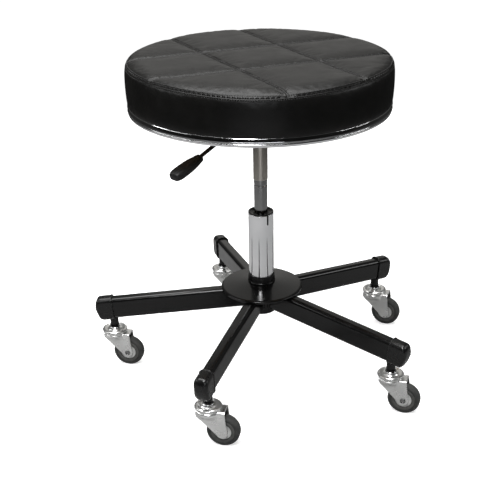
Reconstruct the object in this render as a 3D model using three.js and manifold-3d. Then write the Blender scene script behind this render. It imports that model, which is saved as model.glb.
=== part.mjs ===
// Rolling stylist stool: round padded seat on a gas-lift column, five-arm base on swivel casters.
// Millimetres, +Z up. The origin is on the floor in the middle of the footprint.

import * as THREE from 'three';
import Module from 'manifold-3d';

const wasm = await Module();
wasm.setup();

// ---------------------------------------------------------------- driving dimensions
const GAP = 0.3;                // clearance between touching pieces
const COLUMN_X = 14.1;          // column axis, off the footprint's middle because five arms are uneven

const SEAT_R = 203.2;
const SEAT_TOP_Z = 531.5;
const SEAM_Z = 523.7;           // stitched edge where the seat's top panel meets its side band
const RING_Z = [452.8, 465.8];
const BOARD_R = 199;
const BOARD_Z = [457, 469];

const PRESSURE_R = 10.7;
const PRESSURE_Z = [184, 430];
const GROOVE_Z = 324.5;
const SLEEVE_R = 11.5;
const SLEEVE_Z = [334, 409.4];
const OUTER_R = 20.6;
const OUTER_BORE_R = 18.6;
const OUTER_Z = [109, 277];
const ROD_R = 4;
const VALVE_R = 4;
const VALVE_BORE_R = VALVE_R + GAP;

const HUB_R = 23.5;
const HUB_Z = [103.5, 148.5];
const COVER_R = 66.4;
const ARM_ANGLES = [36, 108, 180, 252, 324];
const ARM_W = 20;
const ARM_H = 37;
const ARM_CORNER = 7;
const ARM_WALL = 2;
const ARM_TILT = THREE.MathUtils.degToRad(5.86);
const ARM_MID_Z_AT_64 = 124.92; // height of the arm's centre line at radius 64
const ARM_END_R = 271;
const CAP_R = [248.5, 278.5];
const CAP_W = 23;
const CAP_H = 41;
const CAP_CORNER = 8;

const STEM_RADIUS = 249.4;      // column axis to caster swivel axis
const CASTER_TURN = [-20, -14, -9, -10, -17]; // heading each wheel trails to, degrees from +X
const TRAIL = 22.8;
const WHEEL_R = 25.4;
const WHEEL_SIDES = 24;
const SEAT_SIDES = 40;
const TYRE_HALF_W = 8.25;
const AXLE_R = 3;
const FORK_IN = 9.25;
const FORK_OUT = 11.25;

const LEVER_HEADING = THREE.MathUtils.degToRad(231);
const LEVER_TILT = THREE.MathUtils.degToRad(14.3);
const LEVER_ROD_R = 3;
const PIVOT = [22, 435.6];      // lever pin, distance from the column axis and height
const PIN_R = 2.5;
const GRIP_S = [117.6, 176.5];  // grip's start and end along the lever, from the pin

// ---------------------------------------------------------------- geometry helpers

/** Closed solid from a triangle geometry, with coincident corners merged. */
function toSolid(geometry) {
  const source = geometry.index ? geometry.toNonIndexed() : geometry;
  const position = source.attributes.position;
  const corners = new Map();
  const vertProperties = [];
  const ids = [];
  for (let i = 0; i < position.count; i++) {
    const xyz = [position.getX(i), position.getY(i), position.getZ(i)];
    const key = xyz.map((value) => Math.round(value * 1e4)).join(',');
    if (!corners.has(key)) {
      corners.set(key, vertProperties.length / 3);
      vertProperties.push(...xyz);
    }
    ids.push(corners.get(key));
  }
  const triVerts = [];
  for (let i = 0; i < ids.length; i += 3) {
    const [a, b, c] = [ids[i], ids[i + 1], ids[i + 2]];
    if (a !== b && b !== c && a !== c) triVerts.push(a, b, c);
  }
  return new wasm.Manifold(new wasm.Mesh({
    numProp: 3,
    vertProperties: new Float32Array(vertProperties),
    triVerts: new Uint32Array(triVerts),
  }));
}

function toGeometry(solid) {
  const mesh = solid.getMesh();
  const geometry = new THREE.BufferGeometry();
  geometry.setAttribute('position', new THREE.BufferAttribute(new Float32Array(mesh.vertProperties), 3));
  geometry.setIndex(new THREE.BufferAttribute(new Uint32Array(mesh.triVerts), 1));
  const flat = geometry.toNonIndexed();
  flat.computeVertexNormals();
  return flat;
}

/** (r, z) outline turned about Z. It runs counter-clockwise; off the axis it closes on itself. */
function turned(outline, segments) {
  const points = outline.map(([r, z]) => new THREE.Vector2(r, z));
  if (outline[0][0] > 0) points.push(points[0].clone());
  const geometry = new THREE.LatheGeometry(points, segments);
  geometry.rotateX(Math.PI / 2);
  return geometry;
}

const turnedSolid = (outline, segments) => toSolid(turned(outline, segments));

/** Plain ring between two radii and two heights. */
const ring = (inner, outer, [low, high], segments) => turnedSolid(
  [[inner, low], [outer, low], [outer, high], [inner, high]], segments);

/** Plain round bar on the Z axis. */
const bar = (r, [low, high], segments) => turnedSolid([[0, low], [r, low], [r, high], [0, high]], segments);

/** Box from its two opposite corners. */
function box([x0, y0, z0], [x1, y1, z1]) {
  const geometry = new THREE.BoxGeometry(x1 - x0, y1 - y0, z1 - z0);
  geometry.translate((x0 + x1) / 2, (y0 + y1) / 2, (z0 + z1) / 2);
  return toSolid(geometry);
}

/** Round bar along Y through (x, z). */
function crossBar(r, halfLength, x, z, segments) {
  const geometry = turned([[0, -halfLength], [r, -halfLength], [r, halfLength], [0, halfLength]], segments);
  geometry.rotateX(Math.PI / 2);
  geometry.translate(x, 0, z);
  return toSolid(geometry);
}

function roundedRect(width, height, radius) {
  const [x, y] = [width / 2, height / 2];
  const shape = new THREE.Shape();
  shape.absarc(x - radius, y - radius, radius, 0, Math.PI / 2);
  shape.absarc(-x + radius, y - radius, radius, Math.PI / 2, Math.PI);
  shape.absarc(-x + radius, -y + radius, radius, Math.PI, Math.PI * 1.5);
  shape.absarc(x - radius, -y + radius, radius, Math.PI * 1.5, Math.PI * 2);
  return shape;
}

const polygon = (points) => new THREE.Shape(points.map(([x, y]) => new THREE.Vector2(x, y)));

/** Flat shape pushed out to a depth, then laid along the given axes from an origin. */
function pushed(shape, depth, axes, origin, options = {}) {
  const geometry = new THREE.ExtrudeGeometry(shape, { depth, bevelEnabled: false, curveSegments: 3, ...options });
  const [x, y, z] = axes.map((axis) => new THREE.Vector3(...axis));
  const matrix = new THREE.Matrix4().makeBasis(x, y, z).setPosition(new THREE.Vector3(...origin));
  geometry.applyMatrix4(matrix);
  return geometry;
}

/** Closed body through rings of points that all have the same count. */
function lofted(rings) {
  const count = rings[0].length;
  const triangles = [];
  const centre = (points) => [0, 1, 2].map((k) => points.reduce((sum, p) => sum + p[k], 0) / count);
  for (let i = 0; i < count; i++) {
    const j = (i + 1) % count;
    for (let k = 0; k + 1 < rings.length; k++) {
      triangles.push(rings[k][i], rings[k][j], rings[k + 1][j]);
      triangles.push(rings[k][i], rings[k + 1][j], rings[k + 1][i]);
    }
    triangles.push(centre(rings[0]), rings[0][j], rings[0][i]);
    triangles.push(centre(rings.at(-1)), rings.at(-1)[i], rings.at(-1)[j]);
  }
  const geometry = new THREE.BufferGeometry();
  geometry.setAttribute('position', new THREE.BufferAttribute(new Float32Array(triangles.flat()), 3));
  return toSolid(geometry);
}

// ---------------------------------------------------------------- looks
const LOOKS = {
  glossBlack: { color: 0x0c0c0d, roughness: 0.18, metalness: 0.3 },
  chrome: { color: 0xd8d9db, roughness: 0.1, metalness: 1 },
  satinNickel: { color: 0x8f8981, roughness: 0.32, metalness: 1 },
  darkSteel: { color: 0x5d5a57, roughness: 0.35, metalness: 1 },
  steel: { color: 0xaeaeac, roughness: 0.35, metalness: 1 },
  blackPlastic: { color: 0x131313, roughness: 0.45, metalness: 0 },
  vinyl: { color: 0x1d1c1b, roughness: 0.5, metalness: 0 },
  foam: { color: 0xd9c796, roughness: 0.95, metalness: 0 },
  plywood: { color: 0xb98f5e, roughness: 0.8, metalness: 0 },
  rubber: { color: 0x2a2a28, roughness: 0.8, metalness: 0 },
  greyPlastic: { color: 0xb8b8b6, roughness: 0.5, metalness: 0 },
};

const group = new THREE.Group();
group.name = 'rolling_stylist_stool';

/** Adds one named piece, moved by an optional matrix in the column's own frame. */
function add(name, look, solid, matrix = null) {
  const geometry = toGeometry(solid);
  if (matrix) geometry.applyMatrix4(matrix);
  geometry.translate(COLUMN_X, 0, 0);
  const mesh = new THREE.Mesh(geometry, new THREE.MeshStandardMaterial(LOOKS[look]));
  mesh.name = name;
  group.add(mesh);
}

const turn = (angle) => new THREE.Matrix4().makeRotationZ(angle);

// ---------------------------------------------------------------- base: hub, cover, column tube
add('hub', 'glossBlack', ring(OUTER_R + GAP, HUB_R, HUB_Z, 24));

add('hub_cover', 'glossBlack', turnedSolid([
  [OUTER_R + GAP, 153.3], [40, 150.2], [63.8, 146.3], [63.9, 143.9], [COVER_R, 143.9],
  [COVER_R, 147], [65.4, 147.8], [40, 152.3], [OUTER_R + GAP, 155.3]], 36));

add('base_collar', 'blackPlastic', turnedSolid([
  [OUTER_R + GAP, 155.6], [22.4, 155.6], [21.7, 169.4], [OUTER_R + GAP, 169.4]], 28));

const SLOT_HEADING = THREE.MathUtils.degToRad(-57.5);
const SLOT_W = 3;
const SLOT_H = 16;
const slotCut = box([15, -SLOT_W / 2, OUTER_Z[1] - SLOT_H], [22, SLOT_W / 2, OUTER_Z[1] + 1]);
const outerTube = turnedSolid([
  [ROD_R + GAP, OUTER_Z[0]], [OUTER_R, OUTER_Z[0]], [OUTER_R, OUTER_Z[1]], [OUTER_BORE_R, OUTER_Z[1]],
  [OUTER_BORE_R, OUTER_Z[0] + 3], [ROD_R + GAP, OUTER_Z[0] + 3]], 28);
add('outer_tube', 'chrome', outerTube.subtract(slotCut), turn(SLOT_HEADING));

const bushKey = box([16, -1.2, 262], [20.1, 1.2, 278]);
const bush = turnedSolid([
  [PRESSURE_R + GAP, 237], [OUTER_BORE_R - GAP, 237], [OUTER_BORE_R - GAP, OUTER_Z[1] + GAP],
  [OUTER_R, OUTER_Z[1] + GAP], [OUTER_R, 279.5], [17.6, 279.5], [PRESSURE_R + GAP, 278.2]], 28);
add('guide_bush', 'blackPlastic', bush.add(bushKey), turn(SLOT_HEADING));

// ---------------------------------------------------------------- base: arms, caps, caster stems
const armMidZ = (r) => ARM_MID_Z_AT_64 - (r - 64) * Math.tan(ARM_TILT);
const ALONG = [Math.cos(ARM_TILT), 0, -Math.sin(ARM_TILT)];
const UPRIGHT = [Math.sin(ARM_TILT), 0, Math.cos(ARM_TILT)];
const ACROSS = [0, 1, 0];
const slopeLength = (r0, r1) => (r1 - r0) / Math.cos(ARM_TILT);

function makeArm() {
  const start = 14;
  const section = roundedRect(ARM_W, ARM_H, ARM_CORNER);
  section.holes.push(roundedRect(ARM_W - 2 * ARM_WALL, ARM_H - 2 * ARM_WALL, ARM_CORNER - ARM_WALL));
  const tube = toSolid(pushed(section, slopeLength(start, ARM_END_R), [ACROSS, UPRIGHT, ALONG],
    [start, 0, armMidZ(start)]));
  const hubSpace = bar(HUB_R + GAP, [80, 170], 24);
  const stemHole = bar(7.4, [60, 104], 12).translate([STEM_RADIUS, 0, 0]);
  return tube.subtract(hubSpace).subtract(stemHole);
}

/** Cap shaped from three sides: the tube's rounded section, a slanted nose, and rounded nose corners. */
function makeCap() {
  const length = slopeLength(...CAP_R);
  const origin = [CAP_R[0], 0, armMidZ(CAP_R[0])];
  const body = toSolid(pushed(roundedRect(CAP_W, CAP_H, CAP_CORNER), length,
    [ACROSS, UPRIGHT, ALONG], origin));
  const side = polygon([
    [-1, -22], [length - 9, -22], [length - 6, -19.5], [length - 1.2, -7], [length, 2],
    [length - 0.8, 11], [length - 3, 17.5], [length - 7, 22], [-1, 22]]);
  const slanted = toSolid(pushed(side, CAP_W + 2, [ALONG, UPRIGHT, [0, -1, 0]],
    [origin[0], CAP_W / 2 + 1, origin[2]]));
  const halfWidth = CAP_W / 2;
  const plan = polygon([
    [-1, -halfWidth - 1], [length - 7, -halfWidth - 1], [length - 6, -halfWidth],
    [length - 2, -halfWidth + 1.8], [length, -halfWidth + 5.5], [length + 1, 0],
    [length, halfWidth - 5.5], [length - 2, halfWidth - 1.8], [length - 6, halfWidth],
    [length - 7, halfWidth + 1], [-1, halfWidth + 1]]);
  const nosed = toSolid(pushed(plan, 50, [ALONG, ACROSS, UPRIGHT],
    origin.map((value, axis) => value - 25 * UPRIGHT[axis])));
  const pocket = toSolid(pushed(roundedRect(ARM_W + 2 * GAP, ARM_H + 2 * GAP, ARM_CORNER),
    slopeLength(CAP_R[0] - 5, ARM_END_R + GAP), [ACROSS, UPRIGHT, ALONG],
    [CAP_R[0] - 5, 0, armMidZ(CAP_R[0] - 5)]));
  const notch = bar(8.1, [60, 100], 16).translate([STEM_RADIUS, 0, 0]);
  return body.intersect(slanted).intersect(nosed).subtract(pocket).subtract(notch);
}

const stem = turnedSolid([
  [0, 54.8], [7, 54.8], [7, 57.6], [4, 57.6], [4, 68.3], [9, 68.3], [9, 71.2],
  [7, 74.5], [7, 116], [0, 116]], 12);

const arm = makeArm();
const cap = makeCap();

// ---------------------------------------------------------------- casters, standing on their swivel axis
const AXLE_Z = WHEEL_R;

function makeFork() {
  const legOutline = [[-16.8, 60], [-16.8, 55.5], [-15, 52]];
  for (let angle = 225; angle <= 365; angle += 28) {
    const a = THREE.MathUtils.degToRad(angle);
    legOutline.push([TRAIL + 8 * Math.cos(a), AXLE_Z + 8 * Math.sin(a)]);
  }
  legOutline.push([27, 60]);
  const leg = polygon(legOutline);
  const thickness = FORK_OUT - FORK_IN;
  const axes = [[1, 0, 0], [0, 0, 1], [0, -1, 0]];
  const nearLeg = toSolid(pushed(leg, thickness, axes, [0, -FORK_IN, 0]));
  const farLeg = toSolid(pushed(leg, thickness, axes, [0, FORK_OUT, 0]));
  const crown = box([-16.8, -FORK_OUT, 57.9], [27, FORK_OUT, 60]);
  const raceCup = turnedSolid([[3, 59.5], [21, 59.5], [21, 66.4], [19.4, 68], [3, 68]], 20);
  const swivelBore = bar(4 + GAP, [50, 70], 12);
  const axleBore = crossBar(AXLE_R + GAP, 20, TRAIL, AXLE_Z, 10);
  return nearLeg.add(farLeg).add(crown).add(raceCup).subtract(swivelBore).subtract(axleBore);
}

/** (radius, across) outline turned about the wheel's axle, with a facet flat on the floor. */
function onAxle(outline, segments) {
  const geometry = turned(outline, segments);
  geometry.rotateZ(Math.PI / segments);
  geometry.rotateX(Math.PI / 2);
  geometry.translate(TRAIL, 0, AXLE_Z);
  return toSolid(geometry);
}

const fork = makeFork();
const axle = onAxle([
  [0, -13.2], [4.5, -12.8], [4.5, -FORK_OUT - GAP], [AXLE_R, -FORK_OUT - GAP],
  [AXLE_R, FORK_OUT + GAP], [4.5, FORK_OUT + GAP], [4.5, 12.8], [0, 13.2]], 10);
const wheelCore = onAxle([
  [AXLE_R + GAP, -8.8], [12.8, -7.4], [12.8, 7.4], [AXLE_R + GAP, 8.8]], 16);
const TREAD_R = WHEEL_R / Math.cos(Math.PI / WHEEL_SIDES);
const tyre = onAxle([
  [13.1, -7.8], [23.2, -TYRE_HALF_W], [TREAD_R, -6.2], [TREAD_R, 6.2], [23.2, TYRE_HALF_W],
  [13.1, 7.8]], WHEEL_SIDES);

ARM_ANGLES.forEach((degrees, index) => {
  const k = index + 1;
  const armTurn = turn(THREE.MathUtils.degToRad(degrees));
  const toStem = new THREE.Matrix4().makeTranslation(
    STEM_RADIUS * Math.cos(THREE.MathUtils.degToRad(degrees)),
    STEM_RADIUS * Math.sin(THREE.MathUtils.degToRad(degrees)), 0);
  const casterPlace = toStem.clone().multiply(turn(THREE.MathUtils.degToRad(CASTER_TURN[index])));
  add(`arm_${k}`, 'glossBlack', arm, armTurn);
  add(`end_cap_${k}`, 'blackPlastic', cap, armTurn);
  add(`caster_stem_${k}`, 'steel', stem, toStem);
  add(`caster_fork_${k}`, 'chrome', fork, casterPlace);
  add(`caster_axle_${k}`, 'steel', axle, casterPlace);
  add(`wheel_core_${k}`, 'greyPlastic', wheelCore, casterPlace);
  add(`tyre_${k}`, 'rubber', tyre, casterPlace);
});

// ---------------------------------------------------------------- spindle: rod that turns in the column tube
add('piston_rod', 'steel', turnedSolid([
  [0, 105.9], [ROD_R, 105.9], [ROD_R, 266], [8, 266], [8, 276], [0, 276]], 16));
add('retaining_clip', 'steel', ring(ROD_R + GAP, 9, [106.8, OUTER_Z[0] - GAP], 16));
add('thrust_bearing', 'steel', ring(ROD_R + GAP, 14, [OUTER_Z[0] + 3 + GAP, 116.5], 20));
add('bump_stop', 'rubber', turnedSolid([
  [ROD_R + GAP, 116.8], [10.4, 116.8], [9, 128.5], [ROD_R + GAP, 128.5]], 16));

// ---------------------------------------------------------------- sliding column: pressure tube and sleeve
add('pressure_tube', 'darkSteel', turnedSolid([
  [0, 405], [8.3, 405], [8.3, PRESSURE_Z[0]], [PRESSURE_R, PRESSURE_Z[0]],
  [PRESSURE_R, GROOVE_Z - 1], [PRESSURE_R - 0.6, GROOVE_Z - 0.5], [PRESSURE_R - 0.6, GROOVE_Z + 0.5],
  [PRESSURE_R, GROOVE_Z + 1], [PRESSURE_R, PRESSURE_Z[1]], [VALVE_BORE_R, PRESSURE_Z[1]],
  [VALVE_BORE_R, 418], [0, 418]], 24));
add('rod_seal', 'blackPlastic', ring(ROD_R + GAP, 8, [PRESSURE_Z[0] + GAP, 194.5], 16));
add('stem_sleeve', 'satinNickel', ring(PRESSURE_R + GAP, SLEEVE_R, SLEEVE_Z, 24));
add('valve_button', 'steel', turnedSolid([
  [0, 422.5], [VALVE_R, 422.5], [VALVE_R, 437], [2.6, 438.2], [0, 438.2]], 12));

// ---------------------------------------------------------------- seat: plate, board, trim ring, cushion
const SCREW_AT = [[60, 60], [-60, 60], [-60, -60], [60, -60]];
const headed = turn(LEVER_HEADING);

/** Hat-shaped plate with the gas spring's socket, and a slot in its floor where the lever leaves. */
function makeSeatPlate() {
  const top = BOARD_Z[0] - GAP;
  const flange = top - 3;
  const floor = 424;
  const hat = polygon([
    [-75, flange], [-28, flange], [-28, floor], [28, floor], [28, flange], [75, flange], [75, top],
    [25.5, top], [25.5, floor + 2.5], [-25.5, floor + 2.5], [-25.5, top], [-75, top]]);
  let plate = toSolid(pushed(hat, 150, [[0, 1, 0], [0, 0, 1], [1, 0, 0]], [-75, 0, 0]));
  plate = plate.add(bar(14, [410, floor + 0.5], 24));
  plate = plate.subtract(bar(PRESSURE_R + GAP, [400, 428], 24));
  plate = plate.subtract(box([38, -7, 420], [80, 7, 428]));
  plate = plate.subtract(crossBar(PIN_R + GAP, 35, PIVOT[0], PIVOT[1], 12));
  for (const [x, y] of SCREW_AT) plate = plate.subtract(bar(2.8, [flange - 5, top + 5], 10).translate([x, y, 0]));
  return plate;
}

let board = bar(BOARD_R, BOARD_Z, SEAT_SIDES);
for (const [x, y] of SCREW_AT) board = board.subtract(bar(2.5, [BOARD_Z[0] - 5, 466], 10).translate([x, y, 0]));

add('seat_plate', 'steel', makeSeatPlate(), headed);
add('seat_board', 'plywood', board, headed);
SCREW_AT.forEach(([x, y], index) => {
  const screw = turnedSolid([
    [0, 450.2], [4, 450.2], [4.8, 453.4], [2.2, 453.4], [2.2, 465], [0, 465]], 10);
  add(`seat_screw_${index + 1}`, 'steel', screw.translate([x, y, 0]), headed);
});

add('seat_ring', 'chrome', turnedSolid([
  [192, RING_Z[0]], [201, RING_Z[0]], [202.5, RING_Z[0] + 1.5], [202.5, RING_Z[1]],
  [201.2, RING_Z[1]], [201.2, RING_Z[0] + 1.3], [192, RING_Z[0] + 1.3]], SEAT_SIDES), headed);
add('seat_foam', 'foam', turnedSolid([
  [0, BOARD_Z[1] + GAP], [199, BOARD_Z[1] + GAP], [201.4, 487], [200.2, 518],
  [190, 526.4], [0, SEAT_TOP_Z - 1.7]], SEAT_SIDES), headed);
add('seat_cover', 'vinyl', turnedSolid([
  [0, SEAT_TOP_Z - 1.3], [190, 526.9], [200.7, 518], [202, 487], [199.4, 467],
  [199.4, 456.7], [172, 456.7], [172, 455.4], [200.9, 455.4], [200.9, 466], [SEAT_R, 487],
  [202.5, 515], [201.6, SEAM_Z], [190, 528.3], [150, 530.5], [0, SEAT_TOP_Z]], SEAT_SIDES), headed);

// ---------------------------------------------------------------- lever that opens the gas-spring valve
add('lever_pin', 'steel', crossBar(PIN_R, 30, PIVOT[0], PIVOT[1], 12), headed);

/** Moves a solid from lever axes (along, across, up from the pin) to the column's frame. */
function fromLever(solid) {
  return solid.rotate([0, THREE.MathUtils.radToDeg(LEVER_TILT), 0]).translate([PIVOT[0], 0, PIVOT[1]]);
}

const rodAlong = (r, [from, to]) => {
  const geometry = turned([[0, from], [r, from], [r, to], [0, to]], 12);
  geometry.rotateY(Math.PI / 2);
  return toSolid(geometry);
};

function makeLeverRod() {
  const boss = crossBar(6, 8, PIVOT[0], PIVOT[1], 16);
  const finger = box([-5, -5, 438.6], [PIVOT[0] + 2, 5, 441]);
  const rod = fromLever(rodAlong(LEVER_ROD_R, [0, 150]));
  const pinBore = crossBar(PIN_R + GAP, 35, PIVOT[0], PIVOT[1], 12);
  return boss.add(finger).add(rod).subtract(pinBore);
}

/** Distance along the lever, width and thickness of the grip's sections. */
const GRIP_SECTIONS = [
  [GRIP_S[0], 11.6, 9.6], [122, 14, 11], [130, 17.4, 12.4], [139, 20.2, 14], [150, 22, 15],
  [166, 22, 15], [172, 20, 13.8], [GRIP_S[1], 16.4, 11]];

function makeGrip() {
  const count = 14;
  const rings = GRIP_SECTIONS.map(([s, width, height]) => Array.from({ length: count }, (_, i) => {
    const a = (i / count) * Math.PI * 2;
    const squarish = (value) => Math.sign(value) * Math.abs(value) ** 0.72;
    return [s, (width / 2) * squarish(Math.cos(a)), (height / 2) * squarish(Math.sin(a))];
  }));
  const bore = rodAlong(LEVER_ROD_R + GAP, [100, 151]);
  return fromLever(lofted(rings).subtract(bore));
}

add('lever_rod', 'steel', makeLeverRod(), headed);
add('lever_grip', 'blackPlastic', makeGrip(), headed);

export default group;
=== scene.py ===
"""Rolling stylist stool: the visible model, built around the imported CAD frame.

Sizes are in millimetres in the helpers and turned to metres when a piece is made.
"""

import math

import bmesh
import bpy
from mathutils import Matrix, Vector, noise
from mathutils.geometry import delaunay_2d_cdt


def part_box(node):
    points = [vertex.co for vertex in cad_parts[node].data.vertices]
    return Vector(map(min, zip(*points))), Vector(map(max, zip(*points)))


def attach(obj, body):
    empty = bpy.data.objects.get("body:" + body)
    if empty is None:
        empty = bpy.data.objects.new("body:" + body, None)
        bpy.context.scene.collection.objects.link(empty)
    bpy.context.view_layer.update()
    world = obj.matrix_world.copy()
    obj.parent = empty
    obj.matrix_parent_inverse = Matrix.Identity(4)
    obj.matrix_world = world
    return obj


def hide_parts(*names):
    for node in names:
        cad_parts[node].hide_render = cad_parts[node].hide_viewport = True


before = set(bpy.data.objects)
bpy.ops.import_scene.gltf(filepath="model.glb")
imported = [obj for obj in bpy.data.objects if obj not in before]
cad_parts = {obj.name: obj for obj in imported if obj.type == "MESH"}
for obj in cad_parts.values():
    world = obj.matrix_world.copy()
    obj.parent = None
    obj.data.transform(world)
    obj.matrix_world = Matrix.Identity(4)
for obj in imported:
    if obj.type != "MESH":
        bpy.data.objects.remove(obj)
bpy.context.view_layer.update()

MM = 0.001
TAU = math.tau
Z_AXIS = Vector((0, 0, 1))


def box_mm(node):
    """Lowest and highest corner of a CAD node, in millimetres."""
    low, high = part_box(node)
    return low / MM, high / MM


def middle_mm(node):
    low, high = box_mm(node)
    return (low + high) / 2


# ------------------------------------------------------------------ places taken from the frame
COLUMN = middle_mm("hub_cover")
COLUMN.z = 0
TUBE_LOW, TUBE_HIGH = box_mm("outer_tube")
RING_LOW, RING_HIGH = box_mm("seat_ring")
COVER_LOW, COVER_HIGH = box_mm("seat_cover")
SEAT_R = (COVER_HIGH.x - COVER_LOW.x) / 2
SEAT_TOP = COVER_HIGH.z
GRIP = middle_mm("lever_grip")
LEVER_HEADING = math.atan2(GRIP.y - COLUMN.y, GRIP.x - COLUMN.x)
CASTERS = range(1, 6)

COLUMN_PLACE = Matrix.Translation(COLUMN)
HEADED = COLUMN_PLACE @ Matrix.Rotation(LEVER_HEADING, 4, "Z")


# ------------------------------------------------------------------ mesh helpers
def new_piece(name, vertices, faces, look, place=Matrix.Identity(4), smooth_angle=38):
    """Mesh object from points in millimetres, moved by a placing matrix, with its normals facing out."""
    mesh = bpy.data.meshes.new(name)
    mesh.from_pydata([tuple((place @ Vector(v)) * MM) for v in vertices], [], faces)
    shape = bmesh.new()
    shape.from_mesh(mesh)
    bmesh.ops.recalc_face_normals(shape, faces=shape.faces)
    shape.to_mesh(mesh)
    shape.free()
    piece = bpy.data.objects.new(name, mesh)
    bpy.context.scene.collection.objects.link(piece)
    piece.data.materials.append(look)
    shade(piece, smooth_angle)
    return piece


def shade(piece, smooth_angle):
    mesh = piece.data
    mesh.polygons.foreach_set("use_smooth", [True] * len(mesh.polygons))
    mesh.set_sharp_from_angle(angle=math.radians(smooth_angle))


def settle(piece, smooth_angle=38):
    """Applies a piece's modifiers to its mesh."""
    bpy.context.view_layer.update()
    graph = bpy.context.evaluated_depsgraph_get()
    mesh = bpy.data.meshes.new_from_object(piece.evaluated_get(graph))
    piece.modifiers.clear()
    piece.data = mesh
    shade(piece, smooth_angle)


def cut(piece, *cutters):
    """Cuts solids out of a piece."""
    for cutter in cutters:
        change = piece.modifiers.new("cut", "BOOLEAN")
        change.operation = "DIFFERENCE"
        change.solver = "EXACT"
        change.object = cutter
    settle(piece)
    for cutter in cutters:
        bpy.data.objects.remove(cutter)


def joined(name, pieces):
    """One piece made of several closed bodies."""
    shape = bmesh.new()
    for piece in pieces:
        shape.from_mesh(piece.data)
    mesh = bpy.data.meshes.new(name)
    shape.to_mesh(mesh)
    shape.free()
    for look in pieces[0].data.materials:
        mesh.materials.append(look)
    for piece in pieces:
        bpy.data.objects.remove(piece)
    whole = bpy.data.objects.new(name, mesh)
    bpy.context.scene.collection.objects.link(whole)
    shade(whole, 38)
    return whole


def rounded(corners, steps=4, closed=True):
    """Outline whose corners (x, y, radius) are turned into arcs.

    A point just outside each end of an arc keeps the flat beside it shaded flat.
    """
    outline = []
    count = len(corners)
    for i, (x, y, radius) in enumerate(corners):
        corner = Vector((x, y))
        at_end = not closed and i in (0, count - 1)
        if radius == 0 or at_end:
            outline.append(corner)
            continue
        before = Vector(corners[i - 1][:2]) - corner
        after = Vector(corners[(i + 1) % count][:2]) - corner
        half = before.angle(after) / 2
        reach = min(radius / math.tan(half), before.length * 0.49, after.length * 0.49)
        true_radius = reach * math.tan(half)
        guards = [min(0.25, side.length * 0.008) for side in (before, after)]
        before.normalize()
        after.normalize()
        centre = corner + (before + after).normalized() * (true_radius / math.sin(half))
        first = corner + before * reach - centre
        last = corner + after * reach - centre
        sweep = math.pi - 2 * half
        outline.append(corner + before * (reach + guards[0]))
        for k in range(steps + 1):
            t = k / steps
            mixed = first * math.sin((1 - t) * sweep) + last * math.sin(t * sweep)
            outline.append(centre + mixed / math.sin(sweep))
        outline.append(corner + after * (reach + guards[1]))
    return outline


def turned(name, corners, look, place=COLUMN_PLACE, segments=96, steps=4):
    """Solid of revolution about Z from a closed (radius, height, fillet) outline."""
    outline = rounded(corners, steps)
    vertices, rings = [], []
    for radius, height in outline:
        if radius < 1e-6:
            rings.append([len(vertices)] * segments)
            vertices.append((0, 0, height))
            continue
        rings.append([len(vertices) + i for i in range(segments)])
        for i in range(segments):
            angle = TAU * i / segments
            vertices.append((radius * math.cos(angle), radius * math.sin(angle), height))
    faces = []
    for ring, other in zip(rings, rings[1:] + rings[:1]):
        for i in range(segments):
            j = (i + 1) % segments
            corner_ids = [ring[i], ring[j], other[j], other[i]]
            face = list(dict.fromkeys(corner_ids))
            if len(face) > 2:
                faces.append(face)
    return new_piece(name, vertices, faces, look, place)


def ring_faces(a, b, count, start=0):
    """Quads between rings a and b of a stack of rings, whose first point has the number start."""
    low, high = start + a * count, start + b * count
    return [[low + i, low + (i + 1) % count, high + (i + 1) % count, high + i] for i in range(count)]


def lofted(name, sections, look, place, ends=True, smooth_angle=38):
    """Skin through closed sections that all have the same number of points.

    With ends the first and last sections are filled, without them they are joined to each other.
    """
    count, last = len(sections[0]), len(sections) - 1
    vertices = [point for section in sections for point in section]
    faces = [face for k in range(last) for face in ring_faces(k, k + 1, count)]
    if ends:
        faces += [[k * count + i for i in range(count)] for k in (0, last)]
    else:
        faces += ring_faces(last, 0, count)
    return new_piece(name, vertices, faces, look, place, smooth_angle)


def bevel_edges(piece, width, segments, angle):
    """Adds a modifier that rounds the edges sharper than an angle in degrees."""
    bevel = piece.modifiers.new("edges", "BEVEL")
    bevel.width = width * MM
    bevel.segments = segments
    bevel.limit_method = "ANGLE"
    bevel.angle_limit = math.radians(angle)


def extruded(name, outline, depth, look, place, edge=0.0):
    """Flat outline in X and Y pushed along Z, with its sharp edges rounded."""
    sections = [[(x, y, z) for x, y in outline] for z in (0, depth)]
    piece = lofted(name, sections, look, place)
    if edge:
        bevel_edges(piece, edge, 3, 40)
        settle(piece)
    return piece


def cylinder(radius, low, high, place, segments=48):
    """Plain solid for cutting."""
    corners = [(0, low, 0), (radius, low, 0), (radius, high, 0), (0, high, 0)]
    return turned("cutter", corners, LOOKS["steel"], place, segments)


def block(low, high, place):
    """Plain box for cutting."""
    (x0, y0, z0), (x1, y1, z1) = low, high
    sections = [[(x0, y0, z), (x1, y0, z), (x1, y1, z), (x0, y1, z)] for z in (z0, z1)]
    return lofted("cutter", sections, LOOKS["steel"], place)


def frame_of(origin, x_axis, y_axis, z_axis):
    """Placing matrix from an origin and three axes."""
    matrix = Matrix((x_axis, y_axis, z_axis)).transposed().to_4x4()
    return Matrix.Translation(origin) @ matrix


def along_axis(a, b):
    """Placing matrix whose Z runs from a to b."""
    turn = (Vector(b) - Vector(a)).to_track_quat("Z", "X").to_matrix().to_4x4()
    return Matrix.Translation(a) @ turn


def smoothstep(t):
    t = max(0.0, min(1.0, t))
    return t * t * (3 - 2 * t)


def place_on(piece, body, slot, *nodes):
    """Says what a piece rides on and hides the CAD nodes it stands for. The slot, its finish, is not used."""
    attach(piece, body)
    if nodes:
        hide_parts(*nodes)


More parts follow.
